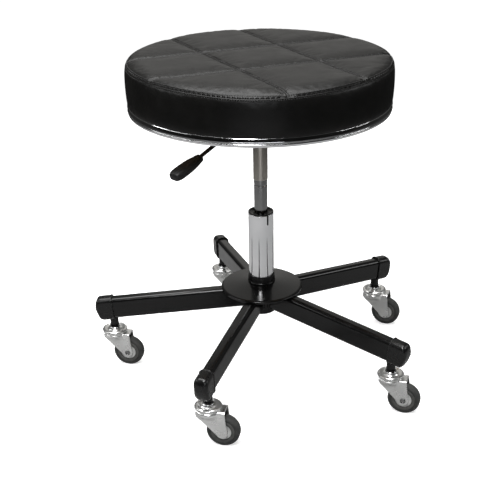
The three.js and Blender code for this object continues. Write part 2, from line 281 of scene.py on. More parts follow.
# ------------------------------------------------------------------ materials
class Look:
    """A procedural material: its shader, and noise fields in the piece's own coordinates."""

    def __init__(self, name, color, roughness, metallic=0.0, specular=0.5):
        self.material = bpy.data.materials.new(name)
        self.material.use_nodes = True
        self.nodes = self.material.node_tree.nodes
        self.links = self.material.node_tree.links
        self.shader = self.nodes["Principled BSDF"]
        self.set("Base Color", (*color, 1))
        self.set("Roughness", roughness)
        self.set("Metallic", metallic)
        self.set("Specular IOR Level", specular)
        self.coords = self.nodes.new("ShaderNodeTexCoord")
        self.height = None

    def set(self, socket, value):
        self.shader.inputs[socket].default_value = value

    def mapped(self, stretch=(1, 1, 1)):
        """The piece's coordinates, stretched."""
        mapping = self.nodes.new("ShaderNodeMapping")
        mapping.inputs["Scale"].default_value = stretch
        self.links.new(self.coords.outputs["Object"], mapping.inputs["Vector"])
        return mapping.outputs["Vector"]

    def noise(self, per_metre, detail=4.0, stretch=(1, 1, 1), distortion=0.0):
        field = self.nodes.new("ShaderNodeTexNoise")
        field.inputs["Scale"].default_value = per_metre
        field.inputs["Detail"].default_value = detail
        field.inputs["Distortion"].default_value = distortion
        self.links.new(self.mapped(stretch), field.inputs["Vector"])
        return field.outputs["Fac"]

    def cells(self, per_metre, feature="F1"):
        field = self.nodes.new("ShaderNodeTexVoronoi")
        field.feature = feature
        field.inputs["Scale"].default_value = per_metre
        self.links.new(self.mapped(), field.inputs["Vector"])
        return field.outputs["Distance"]

    def ranged(self, field, low, high, start=0.3, end=0.7):
        """A field's values between start and end, spread from low to high."""
        spread = self.nodes.new("ShaderNodeMapRange")
        spread.inputs["From Min"].default_value = start
        spread.inputs["From Max"].default_value = end
        spread.inputs["To Min"].default_value = low
        spread.inputs["To Max"].default_value = high
        self.links.new(field, spread.inputs["Value"])
        return spread.outputs["Result"]

    def color(self, field, low, high, start=0.35, end=0.65):
        """Base colour that runs between two tones with a field."""
        ramp = self.nodes.new("ShaderNodeValToRGB")
        ramp.color_ramp.elements[0].position = start
        ramp.color_ramp.elements[1].position = end
        ramp.color_ramp.elements[0].color = (*low, 1)
        ramp.color_ramp.elements[1].color = (*high, 1)
        self.links.new(field, ramp.inputs["Fac"])
        self.links.new(ramp.outputs["Color"], self.shader.inputs["Base Color"])

    def lighter_convex_edges(self, tone, start=0.54, end=0.62):
        """Lighter tone on edges where the surface is sharply convex, set by convexity alone."""
        geometry = self.nodes.new("ShaderNodeNewGeometry")
        mix = self.nodes.new("ShaderNodeMix")
        mix.data_type = "RGBA"
        socket = self.shader.inputs["Base Color"]
        self.links.new(self.ranged(geometry.outputs["Pointiness"], 0, 1, start, end), mix.inputs["Factor"])
        self.links.new(socket.links[0].from_socket, mix.inputs["A"])
        mix.inputs["B"].default_value = (*tone, 1)
        self.links.new(mix.outputs["Result"], socket)

    def roughness(self, field, low, high, start=0.3, end=0.7):
        self.links.new(self.ranged(field, low, high, start, end), self.shader.inputs["Roughness"])

    def bump(self, field, depth_mm, strength=1.0):
        """Adds a field to the surface relief."""
        bump = self.nodes.new("ShaderNodeBump")
        bump.inputs["Distance"].default_value = depth_mm * MM
        bump.inputs["Strength"].default_value = strength
        self.links.new(field, bump.inputs["Height"])
        if self.height:
            self.links.new(self.height, bump.inputs["Normal"])
        self.height = bump.outputs["Normal"]
        self.links.new(self.height, self.shader.inputs["Normal"])


def vinyl_look():
    """Black upholstery vinyl: fine creased grain, soft gloss."""
    look = Look("black_vinyl", (0.003, 0.0029, 0.0026), 0.4, specular=0.23)
    look.color(look.noise(30), (0.0024, 0.0023, 0.0021), (0.0038, 0.0036, 0.0033))
    look.roughness(look.noise(45, detail=6), 0.34, 0.41)
    look.bump(look.cells(900, "DISTANCE_TO_EDGE"), 0.05, 0.3)
    look.bump(look.noise(1600, detail=3), 0.05, 0.25)
    return look


def thread_look():
    """Black bonded thread with its twist."""
    look = Look("black_thread", (0.02, 0.02, 0.02), 0.55)
    look.color(look.noise(900), (0.012, 0.012, 0.012), (0.035, 0.034, 0.033))
    look.bump(look.noise(2500, detail=2, stretch=(1, 1, 3)), 0.1, 0.5)
    look.roughness(look.noise(700), 0.45, 0.65)
    return look


def chrome_look():
    """Bright chrome plate with a faint polish haze."""
    look = Look("chrome_plate", (0.72, 0.73, 0.74), 0.07, metallic=1.0)
    look.color(look.noise(18), (0.66, 0.67, 0.68), (0.78, 0.78, 0.79))
    look.roughness(look.noise(60, detail=6), 0.05, 0.13)
    look.bump(look.noise(150, detail=2), 0.05, 0.12)
    return look


def fork_look():
    """Plated pressed sheet: softer shine than polished chrome."""
    look = Look("plated_sheet", (0.82, 0.82, 0.81), 0.3, metallic=1.0)
    look.color(look.noise(40), (0.78, 0.78, 0.77), (0.88, 0.88, 0.87))
    look.roughness(look.noise(90, detail=6), 0.24, 0.36)
    look.bump(look.noise(260, detail=3), 0.05, 0.2)
    look.lighter_convex_edges((0.92, 0.92, 0.92))
    return look


def brushed_look(name, dark, light, rough):
    """Steel turned or ground on a lathe, with fine lines around its axis."""
    look = Look(name, dark, rough, metallic=1.0)
    look.color(look.noise(25), dark, light)
    look.roughness(look.noise(30, detail=8, stretch=(1, 1, 90)), rough - 0.01, rough + 0.02)
    look.bump(look.noise(60, detail=3, stretch=(0.4, 0.4, 90)), 0.004, 0.08)
    return look


def zinc_look():
    """Zinc-plated steel with faint blotches."""
    look = Look("zinc_steel", (0.5, 0.5, 0.49), 0.36, metallic=1.0)
    look.color(look.cells(160), (0.42, 0.43, 0.43), (0.58, 0.57, 0.54), 0.1, 0.7)
    look.roughness(look.noise(120, detail=6), 0.28, 0.46)
    look.bump(look.noise(500), 0.04, 0.2)
    look.lighter_convex_edges((0.72, 0.72, 0.7))
    return look


def plywood_look():
    """Sanded birch plywood: long grain with a few dark flecks."""
    look = Look("plywood", (0.42, 0.27, 0.14), 0.72)
    look.color(look.noise(14, detail=8, stretch=(1, 9, 9), distortion=0.6),
               (0.30, 0.185, 0.09), (0.50, 0.34, 0.19))
    look.roughness(look.noise(60, stretch=(1, 12, 12)), 0.62, 0.85)
    look.bump(look.noise(90, detail=6, stretch=(1, 14, 14)), 0.12, 0.4)
    return look


def paint_look():
    """Gloss black powder coat with light orange peel."""
    look = Look("gloss_black_paint", (0.003, 0.003, 0.003), 0.18, specular=0.36)
    look.color(look.noise(40), (0.0022, 0.0022, 0.0022), (0.0036, 0.0036, 0.0036))
    look.roughness(look.noise(70, detail=6), 0.13, 0.24)
    look.bump(look.noise(420, detail=2), 0.06, 0.12)
    look.lighter_convex_edges((0.012, 0.012, 0.012), 0.56, 0.68)
    return look


def plastic_look(name, dark, light, rough):
    """Moulded plastic with a fine spark-eroded texture."""
    look = Look(name, dark, rough, specular=0.4)
    look.color(look.noise(60), dark, light)
    look.roughness(look.noise(90, detail=6), rough - 0.07, rough + 0.08)
    look.bump(look.noise(1800, detail=2), 0.03, 0.3)
    return look


def rubber_look(name, dark, light):
    """Dusty moulded rubber."""
    look = Look(name, dark, 0.75)
    look.color(look.noise(110, detail=8), dark, light)
    look.roughness(look.noise(140, detail=6), 0.6, 0.85)
    look.bump(look.noise(900, detail=4), 0.08, 0.35)
    return look


def foam_look():
    """Open-cell polyurethane foam."""
    look = Look("cream_foam", (0.6, 0.5, 0.3), 0.9)
    look.color(look.noise(50), (0.52, 0.43, 0.25), (0.66, 0.57, 0.36))
    look.bump(look.cells(600), 0.4, 0.8)
    return look


LOOKS = {key: made.material for key, made in {
    "vinyl": vinyl_look(),
    "thread": thread_look(),
    "chrome": chrome_look(),
    "fork": fork_look(),
    "satin_nickel": brushed_look("satin_nickel", (0.42, 0.395, 0.355), (0.50, 0.47, 0.425), 0.3),
    "dark_steel": brushed_look("ground_steel", (0.24, 0.24, 0.24), (0.31, 0.31, 0.31), 0.2),
    "steel": zinc_look(),
    "plywood": plywood_look(),
    "paint": paint_look(),
    "black_plastic": plastic_look("black_plastic", (0.0028, 0.0028, 0.0028), (0.0048, 0.0048, 0.0048), 0.27),
    "grey_plastic": plastic_look("grey_plastic", (0.55, 0.55, 0.54), (0.66, 0.66, 0.65), 0.42),
    "grip_plastic": plastic_look("grip_plastic", (0.0028, 0.0028, 0.0028), (0.0045, 0.0045, 0.0045), 0.5),
    "tyre": rubber_look("tyre_rubber", (0.028, 0.029, 0.028), (0.046, 0.046, 0.044)),
    "tyre_wall": rubber_look("tyre_wall_rubber", (0.055, 0.056, 0.053), (0.085, 0.085, 0.08)),
    "bump_rubber": rubber_look("bump_rubber", (0.02, 0.02, 0.02), (0.035, 0.035, 0.035)),
    "foam": foam_look(),
}.items()}


# ------------------------------------------------------------------ seat cushion
SEAM_R = SEAT_R - 1.6            # the seam between top panel and side band
SEAM_Z = SEAT_TOP - 7.8
PANEL_PUFF = 2.4                 # how far the sewn panels stand above their seams
SHOULDER_W = 21                  # width and height of the rounded shoulder inside the sewn edge
SHOULDER_H = 5.2
SEAM_TURN_A = math.radians(-60)  # heading of one pair of parallel seams
SEAM_TURN_B = math.radians(22.5)
SEAM_OFFSET_A = 63
SEAM_OFFSET_B = 61
STITCH = 3.5                     # pitch of the stitches
ROW_OFFSET = 2.9                 # distance of each stitch row from its seam
SEAT_SEGMENTS = 360
STITCH_R = 0.42
STITCH_SHARE = 0.74              # part of the pitch that the thread shows
THREAD_SIDES = 6
SEAM_ROWS = [0, 0.7, 1.5, 2.3, ROW_OFFSET, 3.6, 4.8, 6.4]
SIM_FRAMES = 20
TOP_CAP, SIDE_CAP = 1.4, 1.0     # the most that the simulation may move the top and the side
VINYL = 1.0                      # thickness of the cover
WRAP_Z = COVER_LOW.z             # lowest level of the vinyl folded under the board
WRAP_R = 172                     # how far in the folded vinyl reaches

SEAMS = []
for turn, offset in ((SEAM_TURN_A, SEAM_OFFSET_A), (SEAM_TURN_B, SEAM_OFFSET_B)):
    for side in (-1, 1):
        SEAMS.append((Vector((math.cos(turn), math.sin(turn))),
                      Vector((-math.sin(turn), math.cos(turn))), side * offset))


def seam_distance(x, y):
    """Distance from a point of the top to the nearest seam."""
    return min(abs(Vector((x, y)).dot(across) - offset) for _, across, offset in SEAMS)


def seam_level(r):
    """Height of the seams on the top, which falls away in a rounded shoulder."""
    t = max(0.0, min(1.0, 1 - (SEAM_R - r) / SHOULDER_W))
    return SEAM_Z + SHOULDER_H * math.sqrt(1 - t * t)


def sag(angle, r, z):
    """How far the sewn edge dips at the front and lifts beside it."""
    from_front = (math.degrees(angle) + 90 + 180) % 360 - 180
    dip = -2.6 * math.exp(-((from_front / 20) ** 2))
    lift = 2.0 * sum(math.exp(-(((from_front - side) / 22) ** 2)) for side in (-52, 52))
    away = math.hypot(SEAM_R - r, 0.8 * (z - SEAM_Z))
    return (dip + lift) * math.exp(-((away / 22) ** 2))


def scattered_top():
    """Points of the top panel: dense rows along the seams, a hexagonal net between them."""
    points, taken = [], set()
    cell = 0.62

    def add(x, y, room=1):
        key = (round(x / cell), round(y / cell))
        if any((key[0] + i, key[1] + j) in taken for i in range(-room + 1, room)
               for j in range(-room + 1, room)):
            return
        taken.add(key)
        points.append((x, y))

    for i in range(SEAT_SEGMENTS):
        angle = TAU * i / SEAT_SEGMENTS
        add(SEAM_R * math.cos(angle), SEAM_R * math.sin(angle))
    rim_count = len(points)
    for along, across, offset in SEAMS:
        half = math.sqrt((SEAM_R - 0.9) ** 2 - offset ** 2)
        for row in sorted({side * d for d in SEAM_ROWS for side in (-1, 1)}, key=abs):
            steps = int(half / (STITCH / 2))
            for k in range(-steps, steps + 1):
                x, y = along * (k * STITCH / 2) + across * (offset + row)
                if math.hypot(x, y) < SEAM_R - 0.8:
                    add(x, y)
    clear = SEAM_ROWS[-1] + 1
    for inset in (0.8, 1.7, 2.9, 4.4, 6.4, 9.0, 12.2, 16.0):
        r = SEAM_R - inset
        for i in range(SEAT_SEGMENTS):
            angle = TAU * (i + 0.5) / SEAT_SEGMENTS
            x, y = r * math.cos(angle), r * math.sin(angle)
            if seam_distance(x, y) > clear:
                add(x, y)
    pitch = 4.2
    rows = int(2 * SEAM_R / (pitch * 0.866)) + 2
    for j in range(-rows // 2, rows // 2 + 1):
        for i in range(-rows // 2, rows // 2 + 1):
            x = (i + 0.5 * (j % 2)) * pitch
            y = j * pitch * 0.866
            if math.hypot(x, y) < SEAM_R - 19 and seam_distance(x, y) > clear:
                add(x, y)
    return points, rim_count


def band_profile():
    """(radius, height) from the sewn edge down the side, round the ring and under the board."""
    rows = [(SEAM_R + 0.3, SEAM_Z - 0.9), (SEAM_R + 0.6, SEAM_Z - 1.8), (SEAM_R + 0.5, SEAM_Z - 2.9),
            (SEAM_R + 0.7, SEAM_Z - 4.0)]
    top_z = SEAM_Z - 5.5
    low_z = RING_HIGH.z + 0.9
    steps = 18
    for k in range(steps + 1):
        t = k / steps
        z = top_z + (low_z - top_z) * t
        bulge = math.sin(math.pi * min(1.0, t * 1.02)) ** 0.8
        rows.append((SEAM_R + 0.9 - 1.0 * t + 1.0 * bulge, z))
    tuck_r = SEAM_R - 1.0
    fold = WRAP_Z + 2.2
    rows += [(tuck_r, low_z - 1.6), (tuck_r - 0.1, (low_z + fold) / 2), (tuck_r - 0.1, fold)]
    rows += [(tuck_r - 0.8, fold - 1.4), (tuck_r - 2.4, WRAP_Z + 0.2)]
    for r in (194, 190, 185, 180, 176, 173.4):
        rows.append((r, WRAP_Z))
    rows += [(WRAP_R, WRAP_Z + 0.2), (WRAP_R, WRAP_Z + 1.0)]
    return rows


def cushion_mesh():
    """Points and faces of the cover before it is blown up, and how many points lie on the top panel."""
    points, rim_count = scattered_top()
    flat = delaunay_2d_cdt([Vector(p) for p in points], [], [list(range(rim_count))], 1, 0.01)
    vertices = []
    for x, y in flat[0]:
        r = math.hypot(x, y)
        puff = PANEL_PUFF * (1 - math.exp(-max(0.0, seam_distance(x, y) - ROW_OFFSET) / 9))
        edge = math.sqrt(smoothstep((SEAM_R - r) / SHOULDER_W))
        vertices.append(Vector((x, y, seam_level(r) + puff * edge)))
    faces = [list(face) for face in flat[2]]
    rim = [None] * SEAT_SEGMENTS
    for index, vertex in enumerate(vertices):
        if abs(math.hypot(vertex.x, vertex.y) - SEAM_R) < 0.05:
            step = math.atan2(vertex.y, vertex.x) / TAU * SEAT_SEGMENTS
            rim[round(step) % SEAT_SEGMENTS] = index
    above = rim
    top_count = len(vertices)
    for r, z in band_profile():
        row = [len(vertices) + i for i in range(SEAT_SEGMENTS)]
        for i in range(SEAT_SEGMENTS):
            angle = TAU * i / SEAT_SEGMENTS
            vertices.append(Vector((r * math.cos(angle), r * math.sin(angle), z)))
        for i in range(SEAT_SEGMENTS):
            j = (i + 1) % SEAT_SEGMENTS
            faces.append([above[i], row[i], row[j], above[j]])
        above = row
    return vertices, faces, top_count


def pinned(vertex):
    """True where the cover is sewn, tucked behind the ring or stapled."""
    r = math.hypot(vertex.x, vertex.y)
    on_top = vertex.z > SEAM_Z - 0.5
    if on_top:
        return seam_distance(vertex.x, vertex.y) < ROW_OFFSET + 0.3 or r > SEAM_R - 3.5
    return vertex.z > SEAM_Z - 5 or vertex.z < RING_HIGH.z + 3


def inflate(piece, rest):
    """Blows the sewn panels up against their seams with a cloth simulation, with a cap on how far."""
    group = piece.vertex_groups.new(name="sewn")
    group.add([i for i, v in enumerate(rest) if pinned(v)], 1.0, "REPLACE")
    cloth = piece.modifiers.new("inflate", "CLOTH")
    settings = cloth.settings
    settings.quality = 5
    settings.mass = 0.3
    settings.tension_stiffness = 12
    settings.compression_stiffness = 12
    settings.shear_stiffness = 6
    settings.bending_stiffness = 0.6
    settings.use_pressure = True
    settings.uniform_pressure_force = 3.0
    settings.shrink_min = -0.004
    settings.vertex_group_mass = "sewn"
    settings.effector_weights.gravity = 0
    cloth.collision_settings.use_collision = False
    cloth.point_cache.frame_start = 1
    cloth.point_cache.frame_end = SIM_FRAMES
    scene = bpy.context.scene
    for step in range(1, SIM_FRAMES + 1):
        scene.frame_set(step)
    graph = bpy.context.evaluated_depsgraph_get()
    blown = piece.evaluated_get(graph).to_mesh()
    moved = [vertex.co / MM for vertex in blown.vertices]
    piece.evaluated_get(graph).to_mesh_clear()
    piece.modifiers.clear()
    piece.vertex_groups.clear()
    scene.frame_set(1)
    result = []
    for start, end in zip(rest, moved):
        on_top = start.z > SEAM_Z - 0.5
        cap = TOP_CAP if on_top else SIDE_CAP
        step = end - COLUMN - start
        if step.length > 0:
            step *= cap * math.tanh(step.length / cap) / step.length
        result.append(start + step)
    return result


def seam_relief(x, y):
    """Relief of the sewn joins: a groove on the seam line and puckered valleys at the stitch rows."""
    relief = 0.0
    for along, across, offset in SEAMS:
        point = Vector((x, y))
        d = abs(point.dot(across) - offset)
        if d > 9:
            continue
        u = point.dot(along)
        groove = -1.1 * math.exp(-((d / 0.6) ** 2))
        pucker = 0.8 + 0.2 * math.cos(TAU * u / STITCH)
        valley = -0.9 * pucker * math.exp(-(((d - ROW_OFFSET) / 0.65) ** 2))
        slope = -0.25 * math.exp(-(((d - ROW_OFFSET) / 2.2) ** 2)) if d > ROW_OFFSET else 0
        gather = 0.2 * noise.noise((u * 0.09, offset, d * 0.05)) * smoothstep((d - 3) / 3)
        relief = min(relief, groove + valley + slope) + gather
    return relief


def edge_relief(r, z, angle):
    """Small inward step of the sewn edge and its stitch rows."""
    d = math.hypot(r - SEAM_R, z - SEAM_Z)
    pucker = 0.8 + 0.2 * math.cos(TAU * angle * SEAM_R / (2 * STITCH))
    return -1.1 * math.exp(-((d / 0.8) ** 2)) - 0.5 * pucker * math.exp(-(((d - ROW_OFFSET) / 0.9) ** 2))


def make_cushion():
    """Stitched cover over the foam, blown up by the simulation and then given its seams and pleats."""
    rest, faces, top_count = cushion_mesh()
    piece = new_piece("seat_cushion", rest, faces, LOOKS["vinyl"], COLUMN_PLACE)
    shape = inflate(piece, rest)
    mesh = piece.data
    normals = [vertex.normal.copy() for vertex in mesh.vertices]
    for index, (point, vertex) in enumerate(zip(shape, mesh.vertices)):
        r = math.hypot(point.x, point.y)
        angle = math.atan2(point.y, point.x)
        point = Vector(point)
        if index < top_count:
            fade = smoothstep((SEAM_R - r) / 2.5)
            point.z += seam_relief(point.x, point.y) * fade
        if abs(rest[index].z - SEAM_Z) < 6 and r > SEAM_R - 6:
            point += normals[index] * edge_relief(r, point.z, angle)
        if point.z > RING_HIGH.z + 4:
            point.z += sag(angle, r, point.z)
        if point.z < WRAP_Z + 0.4 and r < 193:
            depth = smoothstep((193 - r) / 10)
            pleat = math.cos(angle * 47 + 1.3 * math.sin(angle * 5))
            point.z -= depth * (0.55 + 0.55 * pleat)
        vertex.co = (COLUMN_PLACE @ point) * MM
    mesh.update()
    shade(piece, 60)
    wall = piece.modifiers.new("thickness", "SOLIDIFY")
    wall.thickness = VINYL * MM
    wall.offset = -1
    settle(piece, 60)
    place_on(piece, "seat", "vinyl", "seat_cover", "seat_foam")
    return piece


def stitch_body(centre, direction, up, length):
    """One stitch: a short rounded thread that dives in at both ends."""
    side = direction.cross(up).normalized()
    rings = []
    bow = ((-1, 0.35, -0.5), (-0.75, 0.95, 0), (0, 1.1, 0.35), (0.75, 0.95, 0), (1, 0.35, -0.5))
    for t, scale, lift in bow:
        base = centre + direction * (t * length / 2) + up * (lift * STITCH_R)
        rings.append([base + (side * math.cos(a) + up * math.sin(a)) * (STITCH_R * scale)
                      for a in (TAU * i / THREAD_SIDES for i in range(THREAD_SIDES))])
    return rings


def make_stitches(cushion):
    """Every visible stitch of the top seams and of the sewn edge, laid on the finished cushion."""
    vertices, faces = [], []

    def add(rings):
        start = len(vertices)
        for ring in rings:
            vertices.extend(ring)
        for k in range(len(rings) - 1):
            faces.extend(ring_faces(k, k + 1, THREAD_SIDES, start))
        for k in (0, len(rings) - 1):
            faces.append([start + THREAD_SIDES * k + i for i in range(THREAD_SIDES)])

    def lay(origin, aim, direction, length):
        """A stitch where a ray from origin along aim meets the cushion."""
        hit, place, normal, _ = cushion.ray_cast((COLUMN_PLACE @ origin) * MM, aim)
        if hit:
            flat = (direction - normal * direction.dot(normal)).normalized()
            add(stitch_body(place / MM - COLUMN + normal * 0.1, flat, normal, length))

    for along, across, offset in SEAMS:
        half = math.sqrt((SEAM_R - 3) ** 2 - offset ** 2)
        for side in (-1, 1):
            steps = int(half / STITCH)
            for k in range(-steps, steps):
                x, y = along * ((k + 0.5) * STITCH) + across * (offset + side * ROW_OFFSET)
                if math.hypot(x, y) < SEAM_R - 2:
                    lay(Vector((x, y, SEAT_TOP + 20)), -Z_AXIS, Vector((*along, 0)), STITCH * STITCH_SHARE)
    count = round(TAU * SEAM_R / STITCH)
    for k in range(count):
        angle = TAU * k / count
        out = Vector((math.cos(angle), math.sin(angle), 0))
        tangent = Vector((-math.sin(angle), math.cos(angle), 0))
        edge_drop = sag(angle, SEAM_R, SEAM_Z)
        below = out * (SEAM_R + 20) + Z_AXIS * (SEAM_Z - ROW_OFFSET + edge_drop)
        lay(below, -out, tangent, STITCH * STITCH_SHARE)
        lay(out * (SEAM_R - ROW_OFFSET) + Z_AXIS * (SEAT_TOP + 20), -Z_AXIS, tangent, STITCH * STITCH_SHARE)
    stitches = new_piece("seat_stitching", vertices, faces, LOOKS["thread"], COLUMN_PLACE, 80)
    place_on(stitches, "seat", "vinyl")


def make_staples():
    """Staples that hold the folded vinyl to the board."""
    bodies = []
    count, staple_r = 42, 178
    for k in range(count):
        angle = TAU * (k + 0.35 * noise.noise((k * 1.7, 0, 0))) / count
        out = Vector((math.cos(angle), math.sin(angle), 0))
        tangent = Vector((-math.sin(angle), math.cos(angle), 0))
        place = COLUMN_PLACE @ frame_of(out * staple_r + Z_AXIS * (WRAP_Z - 1.5), tangent, out, Z_AXIS)
        outline = rounded([(-5, 1.6, 0), (-5, -0.1, 0.5), (5, -0.1, 0.5), (5, 1.6, 0),
                           (4.3, 1.6, 0), (4.3, 0.6, 0.2), (-4.3, 0.6, 0.2), (-4.3, 1.6, 0)], 2)
        turn = place @ Matrix.Rotation(math.radians(90), 4, "X") @ Matrix.Translation((0, 0, -0.6))
        bodies.append(extruded("staple", outline, 1.2, LOOKS["steel"], turn))
    place_on(joined("wrap_staples", bodies), "seat", "steel")


# ------------------------------------------------------------------ seat ring, board and plate
def make_seat_ring():
    """Chromed trim: a slightly crowned band over a rolled lower bead."""
    r = (RING_HIGH.x - RING_LOW.x) / 2 - 0.3
    low, high = RING_LOW.z, RING_HIGH.z
    corners = [(192, low, 0), (r - 2.6, low, 0.4), (r - 0.9, low, 0.7), (r + 0.2, low + 3.4, 0.5),
               (r + 0.1, low + 4.3, 0.4), (r - 0.6, low + 4.7, 0.2), (r - 0.1, low + 5.3, 0.4),
               (r + 0.2, (low + high) / 2 + 1.5, 8), (r - 0.1, high - 0.6, 0.5), (r - 0.5, high, 0.3),
               (r - 1.1, high, 0.3), (r - 1.2, low + 1.3, 0.3), (192, low + 1.3, 0)]
    ring = turned("trim_ring", corners, LOOKS["chrome"], segments=256)
    place_on(ring, "seat", "chrome", "seat_ring")


SCREW_AT = [(60, 60), (-60, 60), (-60, -60), (60, -60)]
PLATE_HALF = 75
PLATE_TOP = box_mm("seat_plate")[1].z
SOCKET_LOW = box_mm("seat_plate")[0].z
SHEET = 3.0
CHANNEL_FLOOR = SOCKET_LOW + 14
PIN_OUT = 22
PIN_Z = middle_mm("lever_pin").z


def make_seat_plate():
    """Pressed hat-section plate with the gas spring's socket welded into its floor."""
    top, flange, floor = PLATE_TOP, PLATE_TOP - SHEET, CHANNEL_FLOOR
    wall_in, wall_out = 25.5, 28
    outline = rounded([
        (-PLATE_HALF, flange, 0.6), (-wall_out, flange, 2), (-wall_out, floor, 3.5), (wall_out, floor, 3.5),
        (wall_out, flange, 2), (PLATE_HALF, flange, 0.6), (PLATE_HALF, top, 0.6), (wall_in, top, 3.5),
        (wall_in, floor + 2.5, 1.5), (-wall_in, floor + 2.5, 1.5), (-wall_in, top, 3.5),
        (-PLATE_HALF, top, 0.6)], 5)
    across = frame_of(Vector((-PLATE_HALF, 0, 0)), Vector((0, 1, 0)), Z_AXIS, Vector((1, 0, 0)))
    plate = extruded("mounting_plate", outline, 2 * PLATE_HALF, LOOKS["steel"], HEADED @ across)
    cutters = [cylinder(2.8, flange - 5, top + 5, HEADED @ Matrix.Translation((x, y, 0)))
               for x, y in SCREW_AT]
    cutters.append(cylinder(10.4, SOCKET_LOW - 5, floor + 10, HEADED))
    cutters.append(block((38, -7, floor - 4), (80, 7, floor + 4), HEADED))
    for x in (-1, 1):
        for y in (-1, 1):
            corner = HEADED @ Matrix.Translation((x * 50, y * 48, 0))
            cutters.append(cylinder(4, flange - 5, top + 5, corner))
    cut(plate, *cutters)
    socket = turned("socket", [
        (10.1, SOCKET_LOW, 0.6), (14, SOCKET_LOW, 1.0), (14, floor - 2.2, 0), (15.2, floor - 1.4, 1),
        (16.8, floor - 0.1, 0), (16.8, floor + 1, 0), (10.1, floor + 1, 0)], LOOKS["steel"], HEADED, 64)
    pressed = [turned("ear", [(2.6, -2.4, 0.2), (5.2, -2.4, 0.6), (6, 0, 0.4), (2.6, 0, 0)], LOOKS["steel"],
                      HEADED @ along_axis((PIN_OUT, side * wall_out, PIN_Z), (PIN_OUT, side * 60, PIN_Z))
                      @ Matrix.Translation((0, 0, 2.4)), 32)
               for side in (-1, 1)]
    place_on(joined("mounting_plate", [plate, socket, *pressed]), "seat", "steel", "seat_plate")
    for index, (x, y) in enumerate(SCREW_AT):
        place = HEADED @ Matrix.Translation((x, y, 0)) @ Matrix.Rotation(0.5 + index * 1.1, 4, "Z")
        make_screw(index + 1, place, flange)


def make_screw(index, place, seat_z):
    """Pan-head screw with a cross recess and a washer under it."""
    head = turned("head", [
        (0, seat_z - 4.0, 0), (2.4, seat_z - 4.0, 1.5), (4.6, seat_z - 2.6, 1.2), (4.8, seat_z - 1.2, 0.3),
        (2.2, seat_z - 1.2, 0), (2.2, seat_z + 10, 0.6), (0, seat_z + 11, 0)], LOOKS["steel"], place, 40)
    arms = [block((-2.4, -0.45, seat_z - 5), (2.4, 0.45, seat_z - 2.5), place @ Matrix.Rotation(turn, 4, "Z"))
            for turn in (0, math.pi / 2)]
    cut(head, *arms)
    under, over = seat_z - 1.15, seat_z - 0.05
    washer = turned("washer", [(2.7, under, 0.2), (6.2, under, 0.3), (6.2, over, 0.2), (2.7, over, 0.2)],
                    LOOKS["steel"], place, 40)
    place_on(joined(f"board_screw_{index}", [head, washer]), "seat", "steel", f"seat_screw_{index}")


def make_lever_pin():
    """Clevis pin with a head at one end and a spread end at the other."""
    place = HEADED @ along_axis((PIN_OUT, -30, PIN_Z), (PIN_OUT, 30, PIN_Z))
    corners = [(0, 0, 0), (3.2, 0.2, 0.6), (3.6, 1.5, 0.3), (2.5, 1.7, 0), (2.5, 58.6, 0), (3.4, 58.8, 0.3),
               (2.9, 60, 0.5), (0, 60, 0)]
    place_on(turned("clevis_pin", corners, LOOKS["steel"], place, 32), "seat", "steel", "lever_pin")


# ------------------------------------------------------------------ lever
LEVER_TILT = math.radians(14.3)
LEVER_PLACE = HEADED @ Matrix.Translation((PIN_OUT, 0, PIN_Z)) @ Matrix.Rotation(LEVER_TILT, 4, "Y")


def make_lever():
    """Bent rod with its pivot boss and valve finger, and the flared paddle grip."""
    knee, rise, length = 84.0, 2.6, 150.0
    sections = []
    for k in range(61):
        s = length * k / 60
        before, after = rise * s / knee, rise * (length - s) / (length - knee)
        blend = smoothstep((s - knee + 12) / 24)
        z = before * (1 - blend) + after * blend
        radius = 3.0 if 0 < k < 60 else 2.6
        sections.append([(s, radius * math.cos(a), z + radius * math.sin(a))
                         for a in (TAU * i / 24 for i in range(24))])
    rod = lofted("rod", sections, LOOKS["paint"], LEVER_PLACE)
    boss = turned("boss", [(2.8, -8, 0.4), (6, -8, 0.8), (6, 8, 0.8), (2.8, 8, 0.4)], LOOKS["paint"],
                  HEADED @ along_axis((PIN_OUT, 0, PIN_Z), (PIN_OUT, 1, PIN_Z)), 48)
    outline = rounded([(-5, -5, 2), (PIN_OUT + 2, -5, 1), (PIN_OUT + 2, 5, 1), (-5, 5, 2)], 4)
    finger = extruded("finger", outline, 2.4, LOOKS["paint"],
                      HEADED @ Matrix.Translation((0, 0, PIN_Z + 3)), edge=0.6)
    place_on(joined("lever_arm", [rod, boss, finger]), "lever", "gloss_black_paint", "lever_rod")

    widths = [(117.6, 11.0, 9.0), (118.3, 12.4, 10.2), (121, 13.6, 10.8), (126, 15.6, 11.6),
              (132, 18.2, 12.8), (139, 20.2, 14.0), (147, 21.4, 14.8), (156, 22.0, 15.0), (164, 22.0, 15.0),
              (169, 21.4, 14.6), (173.4, 19.4, 13.4), (175.8, 17.4, 12.0), (176.5, 15.8, 10.6)]
    sections = []
    for s, width, height in widths:
        section = []
        for i in range(48):
            a = TAU * i / 48
            x, y = math.cos(a), math.sin(a)
            section.append((s, width / 2 * math.copysign(abs(x) ** 0.62, x),
                            height / 2 * math.copysign(abs(y) ** 0.7, y)))
        sections.append(section)
    grip = lofted("lever_paddle", sections, LOOKS["grip_plastic"], LEVER_PLACE, smooth_angle=50)
    bevel_edges(grip, 0.5, 2, 50)
    settle(grip, 50)
    place_on(grip, "lever", "black_plastic", "lever_grip")


# ------------------------------------------------------------------ column
OUTER_R = (TUBE_HIGH.x - TUBE_LOW.x) / 2
SLOT_TURN = math.radians(-57.5)
TUBE_TOP = TUBE_HIGH.z
GROOVE_Z = 324.5
BUTTON_ROOM = 4.6                # free depth under the valve button, more than its stroke


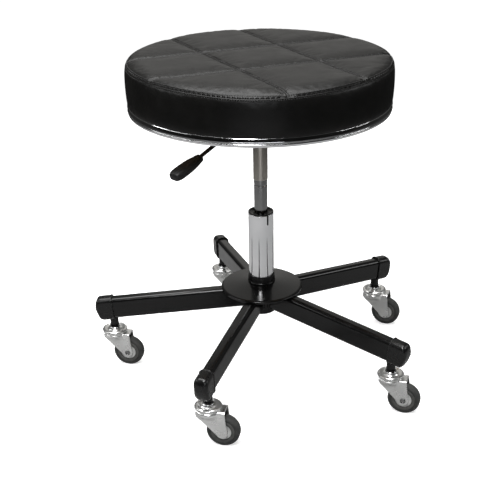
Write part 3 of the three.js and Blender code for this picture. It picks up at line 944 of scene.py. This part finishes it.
def make_column():
    """Chromed column tube, its bush and collar, and the gas spring that rises from it."""
    low = TUBE_LOW.z
    bore = OUTER_R - 2
    tube = turned("column_tube", [
        (4.3, low, 0), (OUTER_R, low, 0.8), (OUTER_R, TUBE_TOP, 0.5), (bore, TUBE_TOP, 0.4),
        (bore, low + 3, 0), (4.3, low + 3, 0)], LOOKS["chrome"], segments=160)
    turn = COLUMN_PLACE @ Matrix.Rotation(SLOT_TURN, 4, "Z")
    slot = block((15, -1.5, TUBE_TOP - 15), (24, 1.5, TUBE_TOP + 2), turn)
    slot_end = cylinder(1.5, 0, 9, turn @ along_axis((15, 0, TUBE_TOP - 15), (24, 0, TUBE_TOP - 15)))
    cut(tube, slot)
    cut(tube, slot_end)
    place_on(tube, "base", "chrome", "outer_tube")

    pressure_r = (box_mm("pressure_tube")[1].x - box_mm("pressure_tube")[0].x) / 2
    top, inside = TUBE_TOP, pressure_r + 0.3
    bush = turned("bush", [
        (inside, top - 40, 0.5), (bore - 0.3, top - 40, 1), (bore - 0.3, top + 0.3, 0),
        (OUTER_R, top + 0.3, 0.4), (OUTER_R, top + 2.5, 0.9), (bore - 0.4, top + 2.4, 0.6),
        (bore - 1.8, top + 0.9, 1.2), (13.6, top - 0.4, 1.5), (inside, top + 0.6, 0.6)],
        LOOKS["black_plastic"], segments=96)
    key = block((17, -1.15, TUBE_TOP - 14.5), (OUTER_R - 0.5, 1.15, TUBE_TOP + 1), turn)
    key.data.materials[0] = LOOKS["black_plastic"]
    place_on(joined("tube_bush", [bush, key]), "base", "black_plastic", "guide_bush")

    collar_low, collar_high = box_mm("base_collar")
    z0, z1 = collar_low.z, collar_high.z
    collar = turned("tube_collar", [
        (OUTER_R + 0.3, z0, 0), (22.4, z0, 0.4), (22.4, z0 + 2.2, 0.5), (21.9, z0 + 2.8, 0.3),
        (21.7, z1 - 1.2, 0.5), (21.4, z1, 0.3), (OUTER_R + 0.3, z1, 0.1)],
        LOOKS["black_plastic"], segments=96)
    place_on(collar, "base", "black_plastic", "base_collar")

    low, high = box_mm("pressure_tube")
    pocket = box_mm("valve_button")[0].z - BUTTON_ROOM
    spring = turned("gas_spring_tube", [
        (0, low.z + 1, 0), (4.4, low.z + 1, 0.3), (4.4, low.z, 0.3), (pressure_r, low.z, 1.2),
        (pressure_r, GROOVE_Z - 1.3, 0.5), (pressure_r - 0.7, GROOVE_Z - 0.6, 0.3),
        (pressure_r - 0.7, GROOVE_Z + 0.6, 0.3), (pressure_r, GROOVE_Z + 1.3, 0.5),
        (pressure_r, high.z, 1.0),
        (4.3, high.z, 0.3), (4.3, pocket, 0), (0, pocket, 0)], LOOKS["dark_steel"], segments=128)
    place_on(spring, "seat", "dark_steel", "pressure_tube")

    low, high = box_mm("stem_sleeve")
    sleeve_r = (high.x - low.x) / 2
    sleeve = turned("cone_sleeve", [
        (pressure_r + 0.2, low.z, 0.1), (sleeve_r, low.z, 0.25), (sleeve_r, high.z, 0.3),
        (pressure_r + 0.2, high.z, 0.1)], LOOKS["satin_nickel"], segments=128)
    place_on(sleeve, "seat", "satin_nickel", "stem_sleeve")

    low, high = box_mm("valve_button")
    button = turned("release_button", [
        (0, low.z, 0), (3.9, low.z, 0.4), (3.9, high.z - 1.2, 0.6), (2.6, high.z, 0.8), (0, high.z, 0)],
        LOOKS["steel"], segments=32)
    place_on(button, "valve", "steel", "valve_button")


# ------------------------------------------------------------------ base
ARM_W, ARM_H, ARM_CORNER, ARM_WALL = 20, 37, 7.0, 2.0
ARM_TILT = math.radians(5.86)
ARM_START_R = 64.0               # where the arms' own measures begin
ARM_START_Z = 124.92             # middle of their section there
HUB_R = 23.5
STEM_RADIUS = (middle_mm("caster_stem_1") - COLUMN).xy.length
ARM_END_R = 271.0
CAP_R = (248.5, 278.5)           # where the end caps begin and end
CAP_W = 23.0
CAP_CORNER = 8.2


def arm_mid_z(r):
    """Middle of an arm's section at a radius."""
    return ARM_START_Z - (r - ARM_START_R) * math.tan(ARM_TILT)


def arm_place(k, r):
    """Placing matrix on arm k at a radius: X along the arm, Y across it, Z square to both."""
    heading = middle_mm(f"caster_stem_{k}") - COLUMN
    turn = Matrix.Rotation(math.atan2(heading.y, heading.x), 4, "Z")
    tilt = Matrix.Rotation(ARM_TILT, 4, "Y")
    return COLUMN_PLACE @ turn @ Matrix.Translation((r, 0, arm_mid_z(r))) @ tilt


def rectangle(width, height, radius, steps=6):
    """Rounded rectangle in Y and Z."""
    y, z = width / 2, height / 2
    return rounded([(y, -z, radius), (y, z, radius), (-y, z, radius), (-y, -z, radius)], steps)


def cope(y, z, r):
    """Distance back along the arm from radius r to the hub's wall, for a point of the arm's section."""
    reach = math.sqrt((HUB_R + 0.1) ** 2 - y ** 2)
    return (reach - z * math.sin(ARM_TILT) - r) / math.cos(ARM_TILT)


def make_arm(k):
    """Straight rectangular tube, coped and welded to the hub, with a hole for the caster stem."""
    start = ARM_START_R
    length = (ARM_END_R - start) / math.cos(ARM_TILT)
    place = arm_place(k, start)
    outer = rectangle(ARM_W, ARM_H, ARM_CORNER)
    inner = rectangle(ARM_W - 2 * ARM_WALL, ARM_H - 2 * ARM_WALL, ARM_CORNER - ARM_WALL)
    stations = [None, *(length * t for t in (0, 0.25, 0.5, 0.75, 1))]

    def section(outline, s):
        return [(cope(y, z, start) if s is None else s, y, z) for y, z in outline]

    sections = [section(outer, s) for s in stations]
    sections += [section(inner, s) for s in reversed(stations)]
    arm = lofted(f"arm_tube_{k}", sections, LOOKS["paint"], place, ends=False)
    stem = COLUMN_PLACE.inverted() @ Matrix.Translation(middle_mm(f"caster_stem_{k}"))
    cut(arm, cylinder(7.4, -40, 12, COLUMN_PLACE @ stem))
    place_on(arm, "base", "gloss_black_paint", f"arm_{k}")

    bead_r = 2.3
    path = rectangle(ARM_W, ARM_H, ARM_CORNER, steps=8)
    dense = []
    for a, b in zip(path, path[1:] + path[:1]):
        steps = max(1, round((b - a).length / 0.8))
        dense += [a.lerp(b, i / steps) for i in range(steps)]
    rings, travelled = [], 0.0
    for i, point in enumerate(dense):
        before, after = dense[i - 1], dense[(i + 1) % len(dense)]
        tangent = (after - before).normalized()
        normal = Vector((tangent.y, -tangent.x))
        travelled += (point - before).length if i else 0
        ripple = 1 + 0.13 * math.sin(travelled * 2.6) + 0.12 * noise.noise((travelled * 0.6, k * 9.0, 0))
        x = cope(point.x, point.y, start)
        ring = []
        for j in range(10):
            a = TAU * j / 10
            out = normal * (bead_r * ripple * math.cos(a))
            ring.append((x + bead_r * ripple * math.sin(a), point.x + out.x, point.y + out.y))
        rings.append(ring)
    rings.append(rings[0])
    bead = lofted(f"arm_weld_{k}", rings, LOOKS["paint"], place, ends=False, smooth_angle=70)
    merge_seam(bead)
    place_on(bead, "base", "gloss_black_paint")


def merge_seam(piece):
    """Joins the doubled points where a swept ring meets itself."""
    shape = bmesh.new()
    shape.from_mesh(piece.data)
    bmesh.ops.remove_doubles(shape, verts=shape.verts, dist=1e-6)
    doubled = [face for face in shape.faces if face.calc_area() < 1e-14]
    bmesh.ops.delete(shape, geom=doubled, context="FACES")
    shape.to_mesh(piece.data)
    shape.free()


def cap_outline(s, length):
    """(lowest, highest) level of the end cap's side outline at a distance along it."""
    lower = [(0, -20.5), (length - 11, -20.5), (length - 8, -19.6), (length - 6, -17.8),
             (length - 3.6, -12.8), (length - 1.4, -7), (length - 0.3, -1.5), (length, 2)]
    upper = [(0, 20.5), (length - 9, 20.5), (length - 6.4, 19.6), (length - 4.2, 17.6),
             (length - 2.2, 14.4), (length - 0.9, 10.6), (length - 0.2, 6), (length, 2)]

    def level(points):
        for (s0, z0), (s1, z1) in zip(points, points[1:]):
            if s <= s1:
                return z0 + (z1 - z0) * (s - s0) / (s1 - s0)
        return points[-1][1]

    return level(lower), level(upper)


def make_end_cap(k):
    """Moulded cap over the tube's end: a proud lip at its mouth, a rounded nose, a notch for the stem."""
    length = (CAP_R[1] - CAP_R[0]) / math.cos(ARM_TILT)
    place = arm_place(k, CAP_R[0])
    body_start = 2.6
    nose = [length - 12 * (1 - math.sin(math.pi / 2 * t / 14)) for t in range(15)]
    sections = []

    def section(s, grow, squeeze=0.0):
        low, high = cap_outline(min(s, length), length)
        width = CAP_W + 2 * grow - 2 * squeeze
        height = max(high - low + 2 * grow, 1.0)
        corner = min(CAP_CORNER + grow, height / 2.1)
        outline = rectangle(width, height, corner)
        middle = (low + high) / 2
        return [(s, y, z + middle) for y, z in outline]

    for s, grow in ((0, 0.2), (0.3, 0.7), (1.0, 0.95), (1.9, 0.9), (2.3, 0.5), (body_start, 0)):
        sections.append(section(s, grow))
    sections.append(section(8, 0))
    for s in nose:
        t = max(0.0, (s - (length - 6.5)) / 6.5)
        sections.append(section(s, 0, 6.0 * (1 - math.sqrt(max(0.0, 1 - t * t)))))
    pocket_end = (ARM_END_R - CAP_R[0]) / math.cos(ARM_TILT)
    pocket = rectangle(ARM_W + 0.5, ARM_H + 0.5, ARM_CORNER)
    inside = [[(s, y, z) for y, z in pocket] for s in (pocket_end, 0.4)]
    inside.append([(0, y * 1.02, z * 1.015) for y, z in pocket])
    count = len(pocket)
    vertices = [p for ring in sections + inside for p in ring]
    tip = len(sections) - 1
    faces = [face for a in range(tip) for face in ring_faces(a, a + 1, count)]
    faces += [[a * count + i for i in range(count)] for a in (tip, tip + 1)]
    for a, b in ((tip + 1, tip + 2), (tip + 2, tip + 3), (tip + 3, 0)):
        faces += ring_faces(a, b, count)
    cap = new_piece(f"tube_cap_{k}", vertices, faces, LOOKS["black_plastic"], place, 45)
    stem = Matrix.Translation(middle_mm(f"caster_stem_{k}"))
    cut(cap, cylinder(8.1, -40, 8, stem))
    shade(cap, 45)
    place_on(cap, "base", "black_plastic", f"end_cap_{k}")


def make_hub():
    """Hub sleeve and the dished cover disc over the arms."""
    low, high = box_mm("hub")
    hub = turned("hub_sleeve", [
        (OUTER_R + 0.3, low.z, 0.4), (HUB_R, low.z, 0.8), (HUB_R, high.z, 0.5), (OUTER_R + 0.3, high.z, 0.3)],
        LOOKS["paint"], segments=96)
    place_on(hub, "base", "gloss_black_paint", "hub")
    low, high = box_mm("hub_cover")
    rim = (high.x - low.x) / 2
    z0, z1 = low.z, high.z
    cover = turned("hub_shell", [
        (OUTER_R + 0.4, z1 - 2, 0.3), (40, z1 - 5.2, 12), (rim - 3.4, z0 + 2.4, 1.4), (rim - 2.4, z0, 0.4),
        (rim, z0, 0.6), (rim, z0 + 3.4, 1.6), (rim - 3, z0 + 4.7, 3), (40, z1 - 3.2, 16),
        (26, z1 - 0.9, 4), (OUTER_R + 0.4, z1, 0.4)], LOOKS["paint"], segments=160, steps=6)
    place_on(cover, "base", "gloss_black_paint", "hub_cover")


# ------------------------------------------------------------------ casters
WHEEL_R = middle_mm("tyre_1").z
FORK_OUT = 11.25
FORK_SHEET = 2.0
CUP_R = 21.0
CROWN_Z = 60.0


def caster_place(k):
    """Placing matrix of caster k: Z up its swivel axis, X towards its wheel. Also the trail."""
    stem = middle_mm(f"caster_stem_{k}")
    wheel = middle_mm(f"tyre_{k}")
    stem.z = 0
    reach = wheel - stem
    place = Matrix.Translation(stem) @ Matrix.Rotation(math.atan2(reach.y, reach.x), 4, "Z")
    return place, reach.xy.length


def make_fork(k, place, trail):
    """Pressed sheet fork: flat crown, legs that flare up to the race cup, round feet at the axle."""
    foot_r = 8.0
    front_top, rear_top, front_low = -16.8, 27.0, -15.0
    foot_angle = math.radians(222)
    touch = Vector((trail + foot_r * math.cos(foot_angle), WHEEL_R + foot_r * math.sin(foot_angle)))
    levels = [CROWN_Z - t for t in (2.0, 3.4, 5, 6.6, 8.2, 10, 13, 17, 21, 25, 29)]
    levels += [WHEEL_R + foot_r * math.sin(math.radians(a))
               for a in (30, 12, 0, -15, -30, -45, -58, -70, -80, -88)]

    def edges(z):
        """Front and rear edge of the leg at a height."""
        rear_slope = (rear_top - trail - foot_r) / (CROWN_Z - WHEEL_R)
        rear = rear_top - (CROWN_Z - z) * rear_slope
        if z > CROWN_Z - 8:
            front = front_top + (front_low - front_top) * max(0.0, (CROWN_Z - 4.5 - z) / 3.5)
        else:
            front = front_low + (touch.x - front_low) * (CROWN_Z - 8 - z) / (CROWN_Z - 8 - touch.y)
        if z < WHEEL_R:
            half = math.sqrt(max(0.0, foot_r ** 2 - (z - WHEEL_R) ** 2))
            rear = trail + half
            if z < touch.y:
                front = trail - half
        return front, rear

    def flare(u, z):
        """How far out the leg's face is: flat below, out to the cup's rim at the crown."""
        rim = math.sqrt(max(0.0, (CUP_R - 2.0) ** 2 - u ** 2))
        blend = smoothstep((z - (CROWN_Z - 13)) / 11.5)
        return FORK_OUT + max(0.0, rim - FORK_OUT) * blend

    columns, bend = 22, 2.0
    grid = []
    for c in range(columns + 1):
        t = c / columns
        half_path = []
        for z in reversed(levels):
            front, rear = edges(z)
            u = front + (rear - front) * t
            half_path.append((u, flare(u, z), z))
        front, rear = edges(CROWN_Z - bend)
        u = front + (rear - front) * t
        v = flare(u, CROWN_Z - bend)
        for a in (25, 50, 75, 90):
            angle = math.radians(a)
            half_path.append((u, v - bend * (1 - math.cos(angle)), CROWN_Z - bend + bend * math.sin(angle)))
        for share in (0.66, 0.33):
            half_path.append((u, (v - bend) * share, CROWN_Z))
        mirrored = [(x, -y, z) for x, y, z in reversed(half_path)]
        grid.append(half_path + [(u, 0, CROWN_Z)] + mirrored)
    rows = len(grid[0])
    vertices = [point for column in grid for point in column]
    faces = [[c * rows + i, c * rows + i + 1, (c + 1) * rows + i + 1, (c + 1) * rows + i]
             for c in range(columns) for i in range(rows - 1)]
    fork = new_piece(f"fork_sheet_{k}", vertices, faces, LOOKS["fork"], place, 50)
    if fork.data.polygons[len(faces) // 2].normal.z < 0:
        fork.data.flip_normals()
    wall = fork.modifiers.new("sheet", "SOLIDIFY")
    wall.thickness = FORK_SHEET * MM
    wall.offset = -1
    wall.use_even_offset = True
    bevel_edges(fork, 0.4, 2, 50)
    settle(fork, 50)
    cut(fork, cylinder(4.3, 40, 80, place))
    place_on(fork, f"caster_{k}", "chrome", f"caster_fork_{k}")
    cup = turned(f"race_cup_{k}", [
        (4.3, CROWN_Z + 0.1, 0), (CUP_R - 2.0, CROWN_Z + 0.1, 0.5), (CUP_R, CROWN_Z + 4.4, 1.0),
        (CUP_R - 0.7, CROWN_Z + 6.0, 0.9), (CUP_R - 3.6, CROWN_Z + 7.4, 1.8),
        (CUP_R - 6.4, CROWN_Z + 6.4, 1.2), (CUP_R - 8.6, CROWN_Z + 5.6, 0.8),
        (CUP_R - 10.6, CROWN_Z + 7.4, 0.8), (4.3, CROWN_Z + 8, 0.3)],
        LOOKS["fork"], place, 96, steps=5)
    place_on(cup, f"caster_{k}", "chrome", f"caster_fork_{k}")


def make_wheel(k, place, trail):
    """Rivet axle with dished heads, moulded core and ridged tyre."""
    on_axle = place @ along_axis((trail, 0, WHEEL_R), (trail, 1, WHEEL_R))
    dish, head, end = 2.7, 4.5, 13.1
    rivet = turned(f"axle_rivet_{k}", [
        (0, -end + 1.6, 0), (dish, -end + 1.4, 0.5), (dish + 0.6, -end, 0.3), (head, -end + 0.9, 0.6),
        (head, -FORK_OUT - 0.05, 0.2),
        (3, -FORK_OUT - 0.05, 0), (3, FORK_OUT + 0.05, 0), (head, FORK_OUT + 0.05, 0.2),
        (head, end - 0.9, 0.6), (dish + 0.6, end, 0.3), (dish, end - 1.4, 0.5), (0, end - 1.6, 0)],
        LOOKS["dark_steel"], on_axle, 48)
    place_on(rivet, f"caster_{k}", "steel", f"caster_axle_{k}")
    half = [(3.3, 8.8, 0.3), (6.3, 8.8, 0.6), (6.9, 6.6, 0.8), (10.4, 6.2, 0.8), (11.2, 7.4, 0.4),
            (12.8, 7.4, 0.5)]
    corners = [(r, -z, f) for r, z, f in half] + [(r, z, f) for r, z, f in reversed(half)]
    core = turned(f"wheel_hub_{k}", corners, LOOKS["grey_plastic"], on_axle, 96)
    place_on(core, f"wheel_{k}", "grey_plastic", f"wheel_core_{k}")
    half = [(13.0, 7.6, 0.2), (18.4, 7.6, 0.2), (18.6, 7.2, 0.2), (19.3, 7.2, 0.2), (19.8, 7.8, 0.4),
            (21.0, 7.7, 0.3), (21.3, 7.3, 0.2), (21.8, 7.3, 0.2), (22.2, 7.5, 0.3),
            (WHEEL_R, 5.2, 3.0), (WHEEL_R, 0, 0)]
    corners = [(r, -z, f) for r, z, f in half[:-1]] + [(r, z, f) for r, z, f in reversed(half)]
    tyre = turned(f"rubber_tyre_{k}", corners, LOOKS["tyre"], on_axle, 128)
    place_on(tyre, f"wheel_{k}", "rubber", f"tyre_{k}")
    walls = [turned("wall", [(13.1, side * 7.7, 0), (13.1, side * 8.1, 0.2), (14.4, side * 8.5, 0.4),
                             (17.6, side * 8.7, 0.5), (18.3, side * 8.2, 0.4), (18.3, side * 7.7, 0)],
                    LOOKS["tyre_wall"], on_axle, 96) for side in (-1, 1)]
    place_on(joined(f"tyre_wall_{k}", walls), f"wheel_{k}", "rubber", f"tyre_{k}")


def make_stem(k):
    """Painted socket boss under the arm, with the caster's plated nut and pin below it."""
    stem = middle_mm(f"caster_stem_{k}")
    low, high = box_mm(f"caster_stem_{k}")
    stem.z = 0
    place = Matrix.Translation(stem)
    boss = turned(f"stem_boss_{k}", [
        (0, 70.8, 0), (8.0, 70.8, 0.4), (7.9, 72.4, 0.9), (7.0, 75.4, 1.6), (7.0, high.z, 0.6),
        (0, high.z, 0)], LOOKS["paint"], place, 48)
    place_on(boss, "base", "gloss_black_paint", f"caster_stem_{k}")
    nut = turned("nut", [
        (4, 68.3, 0), (8.4, 68.3, 0.4), (9.0, 69.0, 0.5), (9.0, 70.0, 0.6), (8.2, 70.7, 0.4), (4, 70.7, 0)],
        LOOKS["chrome"], place, 48)
    pin = turned("pin", [
        (0, low.z, 0), (4.6, low.z, 1.2), (7.0, low.z + 1.2, 0.5), (7.0, low.z + 2.8, 0.2),
        (4.0, low.z + 2.8, 0), (4.0, 70.7, 0), (0, 70.7, 0)], LOOKS["chrome"], place, 48)
    place_on(joined(f"stem_pin_{k}", [nut, pin]), "base", "steel", f"caster_stem_{k}")


# ------------------------------------------------------------------ hidden CAD pieces keep their shape
def dress_hidden_nodes():
    looks = {"piston_rod": "chrome", "retaining_clip": "steel", "thrust_bearing": "steel",
             "bump_stop": "bump_rubber", "rod_seal": "black_plastic", "seat_board": "plywood"}
    for node, look in looks.items():
        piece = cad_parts[node]
        piece.data.materials.clear()
        piece.data.materials.append(LOOKS[look])


# ------------------------------------------------------------------ camera, floor and light
CAMERA_LENS = 73.836
CAMERA_DISTANCE = 1.524049
CAMERA_HEIGHT = 0.902231
CAMERA_PITCH = math.radians(24.431)
CAMERA_YAW = math.radians(-0.693)
CAMERA_ROLL = math.radians(-0.877)
CAMERA_AROUND = math.radians(0.967)
FLOOR_R = 1.3
FLOOR_Y = 0.3
FLOOR_GLOW = 0.55        # added to what the camera sees of the floor
FLOOR_PAINTED_POOL = 0.30    # painted pool of light: how pale the floor near the stool is in reflections and as a reflector, fading to dark further out


def make_camera():
    """Camera in front of the stool, looking down at it from the photograph's side."""
    pitch, yaw, roll = CAMERA_PITCH, CAMERA_YAW, CAMERA_ROLL
    ahead = Vector((math.sin(yaw) * math.cos(pitch), math.cos(yaw) * math.cos(pitch), -math.sin(pitch)))
    right = Vector((math.cos(yaw), -math.sin(yaw), 0))
    up = right.cross(ahead)
    x_axis = right * math.cos(roll) + up * math.sin(roll)
    y_axis = up * math.cos(roll) - right * math.sin(roll)
    data = bpy.data.cameras.new("camera")
    data.sensor_width = 36
    data.lens = CAMERA_LENS
    camera = bpy.data.objects.new("camera", data)
    bpy.context.scene.collection.objects.link(camera)
    stand = Matrix.Translation(COLUMN * MM) @ Matrix.Rotation(CAMERA_AROUND, 4, "Z")
    eye = Vector((0, -CAMERA_DISTANCE, CAMERA_HEIGHT))
    camera.matrix_world = stand @ frame_of(eye, x_axis, y_axis, -ahead)
    bpy.context.scene.camera = camera


def split_by_ray(nodes, links, others, seen, surface):
    """Shows one shader to the camera and another to light and reflections."""
    path = nodes.new("ShaderNodeLightPath")
    mix = nodes.new("ShaderNodeMixShader")
    links.new(path.outputs["Is Camera Ray"], mix.inputs["Fac"])
    links.new(others, mix.inputs[1])
    links.new(seen, mix.inputs[2])
    links.new(mix.outputs["Shader"], surface)


def make_floor():
    """Round pale floor under the stool; what light and reflections see of it is a painted pool of light, pale
    near the stool and dark further out.
    """
    look = Look("pale_floor", (0.9, 0.9, 0.9), 0.85, specular=0.1)
    look.color(look.noise(3), (0.89, 0.89, 0.89), (0.92, 0.92, 0.92))
    look.set("Emission Color", (1, 1, 1, 1))
    look.set("Emission Strength", FLOOR_GLOW)
    mirrored = look.nodes.new("ShaderNodeBsdfDiffuse")
    away = look.nodes.new("ShaderNodeVectorMath")
    away.operation = "LENGTH"
    look.links.new(look.coords.outputs["Object"], away.inputs[0])
    # Painted pool of light: the floor colour that light and reflections see fades from pale near the stool to
    # dark between 0.7 m and 1.08 m, standing in for the lamps' fall-off.
    tone = look.ranged(away.outputs["Value"], FLOOR_PAINTED_POOL, 0.03, 0.7, 1.08)
    look.links.new(tone, mirrored.inputs["Color"])
    split_by_ray(look.nodes, look.links, mirrored.outputs["BSDF"], look.shader.outputs["BSDF"],
                 look.nodes["Material Output"].inputs["Surface"])
    place = Matrix.Translation((COLUMN.x, FLOOR_Y / MM, 0))
    r = FLOOR_R / MM
    corners = [(0, -3, 0), (r, -3, 0.5), (r, -0.05, 0.5), (0, -0.05, 0)]
    floor = turned("floor", corners, look.material, place, 128)


def make_world():
    """White surroundings for the camera, and a studio with a dark front for light and reflections."""
    world = bpy.data.worlds.new("studio")
    bpy.context.scene.world = world
    world.use_nodes = True
    nodes, links = world.node_tree.nodes, world.node_tree.links
    nodes.clear()
    output = nodes.new("ShaderNodeOutputWorld")
    coords = nodes.new("ShaderNodeTexCoord")
    split = nodes.new("ShaderNodeSeparateXYZ")
    links.new(coords.outputs["Generated"], split.inputs["Vector"])

    def ramp(value, low, high, stops):
        spread = nodes.new("ShaderNodeMapRange")
        spread.inputs["From Min"].default_value = low
        spread.inputs["From Max"].default_value = high
        links.new(value, spread.inputs["Value"])
        colors = nodes.new("ShaderNodeValToRGB")
        colors.color_ramp.interpolation = "EASE"
        elements = colors.color_ramp.elements
        while len(elements) < len(stops):
            elements.new(0.5)
        for element, (position, level) in zip(elements, stops):
            element.position = position
            element.color = (level, level, level * 0.985, 1)
        links.new(spread.outputs["Result"], colors.inputs["Fac"])
        return colors.outputs["Color"]

    depth = ramp(split.outputs["Y"], -1, 1, [(0.0, 0.03), (0.42, 0.06), (0.62, 0.12), (1.0, 0.16)])
    height = ramp(split.outputs["Z"], -1, 1, [(0.0, 0.03), (0.48, 0.2), (0.62, 1.0), (1.0, 1.1)])
    product = nodes.new("ShaderNodeMix")
    product.data_type = "RGBA"
    product.blend_type = "MULTIPLY"
    product.inputs["Factor"].default_value = 1.0
    links.new(depth, product.inputs["A"])
    links.new(height, product.inputs["B"])
    room = nodes.new("ShaderNodeBackground")
    links.new(product.outputs["Result"], room.inputs["Color"])
    room.inputs["Strength"].default_value = 0.9
    seen = nodes.new("ShaderNodeBackground")
    seen.inputs["Color"].default_value = (1, 1, 1, 1)
    seen.inputs["Strength"].default_value = 1.05
    split_by_ray(nodes, links, room.outputs["Background"], seen.outputs["Background"],
                 output.inputs["Surface"])


def softbox(name, place, aim, size, watts, color=(1, 1, 1)):
    """Rectangular lamp that shines from a place at an aim. Its size is its up-going and its level side."""
    data = bpy.data.lights.new(name, "AREA")
    data.shape = "RECTANGLE"
    data.size, data.size_y = size
    data.energy = watts
    data.color = color
    light = bpy.data.objects.new(name, data)
    light.matrix_world = along_axis(Vector(place), Vector(place) * 2 - Vector(aim))
    light.visible_camera = False
    bpy.context.scene.collection.objects.link(light)


def make_lights():
    softbox("key_overhead", (-0.2, 0.15, 2.3), (0, 0, 0.2), (1.8, 1.8), 68)
    softbox("rim_left", (-1.7, -0.3, 1.1), (0, 0, 0.3), (0.5, 1.2), 10)
    softbox("rim_right", (1.8, -0.2, 1.0), (0, 0, 0.3), (0.4, 1.2), 8)
    softbox("key_front", (-0.3, -1.25, 1.9), (0, 0, 0.3), (1.1, 0.5), 32)
    softbox("front_fill", (0.05, -1.9, 0.75), (0, 0, 0.5), (0.45, 0.3), 3, (0.95, 0.97, 1.0))
    softbox("front_card", (0.0, -1.12, 0.01), (0.0, -1.12, 1.0), (0.16, 0.8), 1.3, (0.96, 0.97, 1.0))
    softbox("back_card", (0, 1.3, 1.4), (0, 0, 1.0), (2.6, 1.1), 3.4, (1.0, 0.98, 0.94))


# ------------------------------------------------------------------ the scene
def build():
    make_camera()
    make_floor()
    make_world()
    make_lights()
    cushion = make_cushion()
    make_stitches(cushion)
    make_staples()
    make_seat_ring()
    make_seat_plate()
    make_lever_pin()
    make_lever()
    make_column()
    make_hub()
    for k in CASTERS:
        make_arm(k)
        make_end_cap(k)
        make_stem(k)
        place, trail = caster_place(k)
        make_fork(k, place, trail)
        make_wheel(k, place, trail)
    dress_hidden_nodes()
    bpy.context.scene.view_settings.view_transform = "Standard"


build()
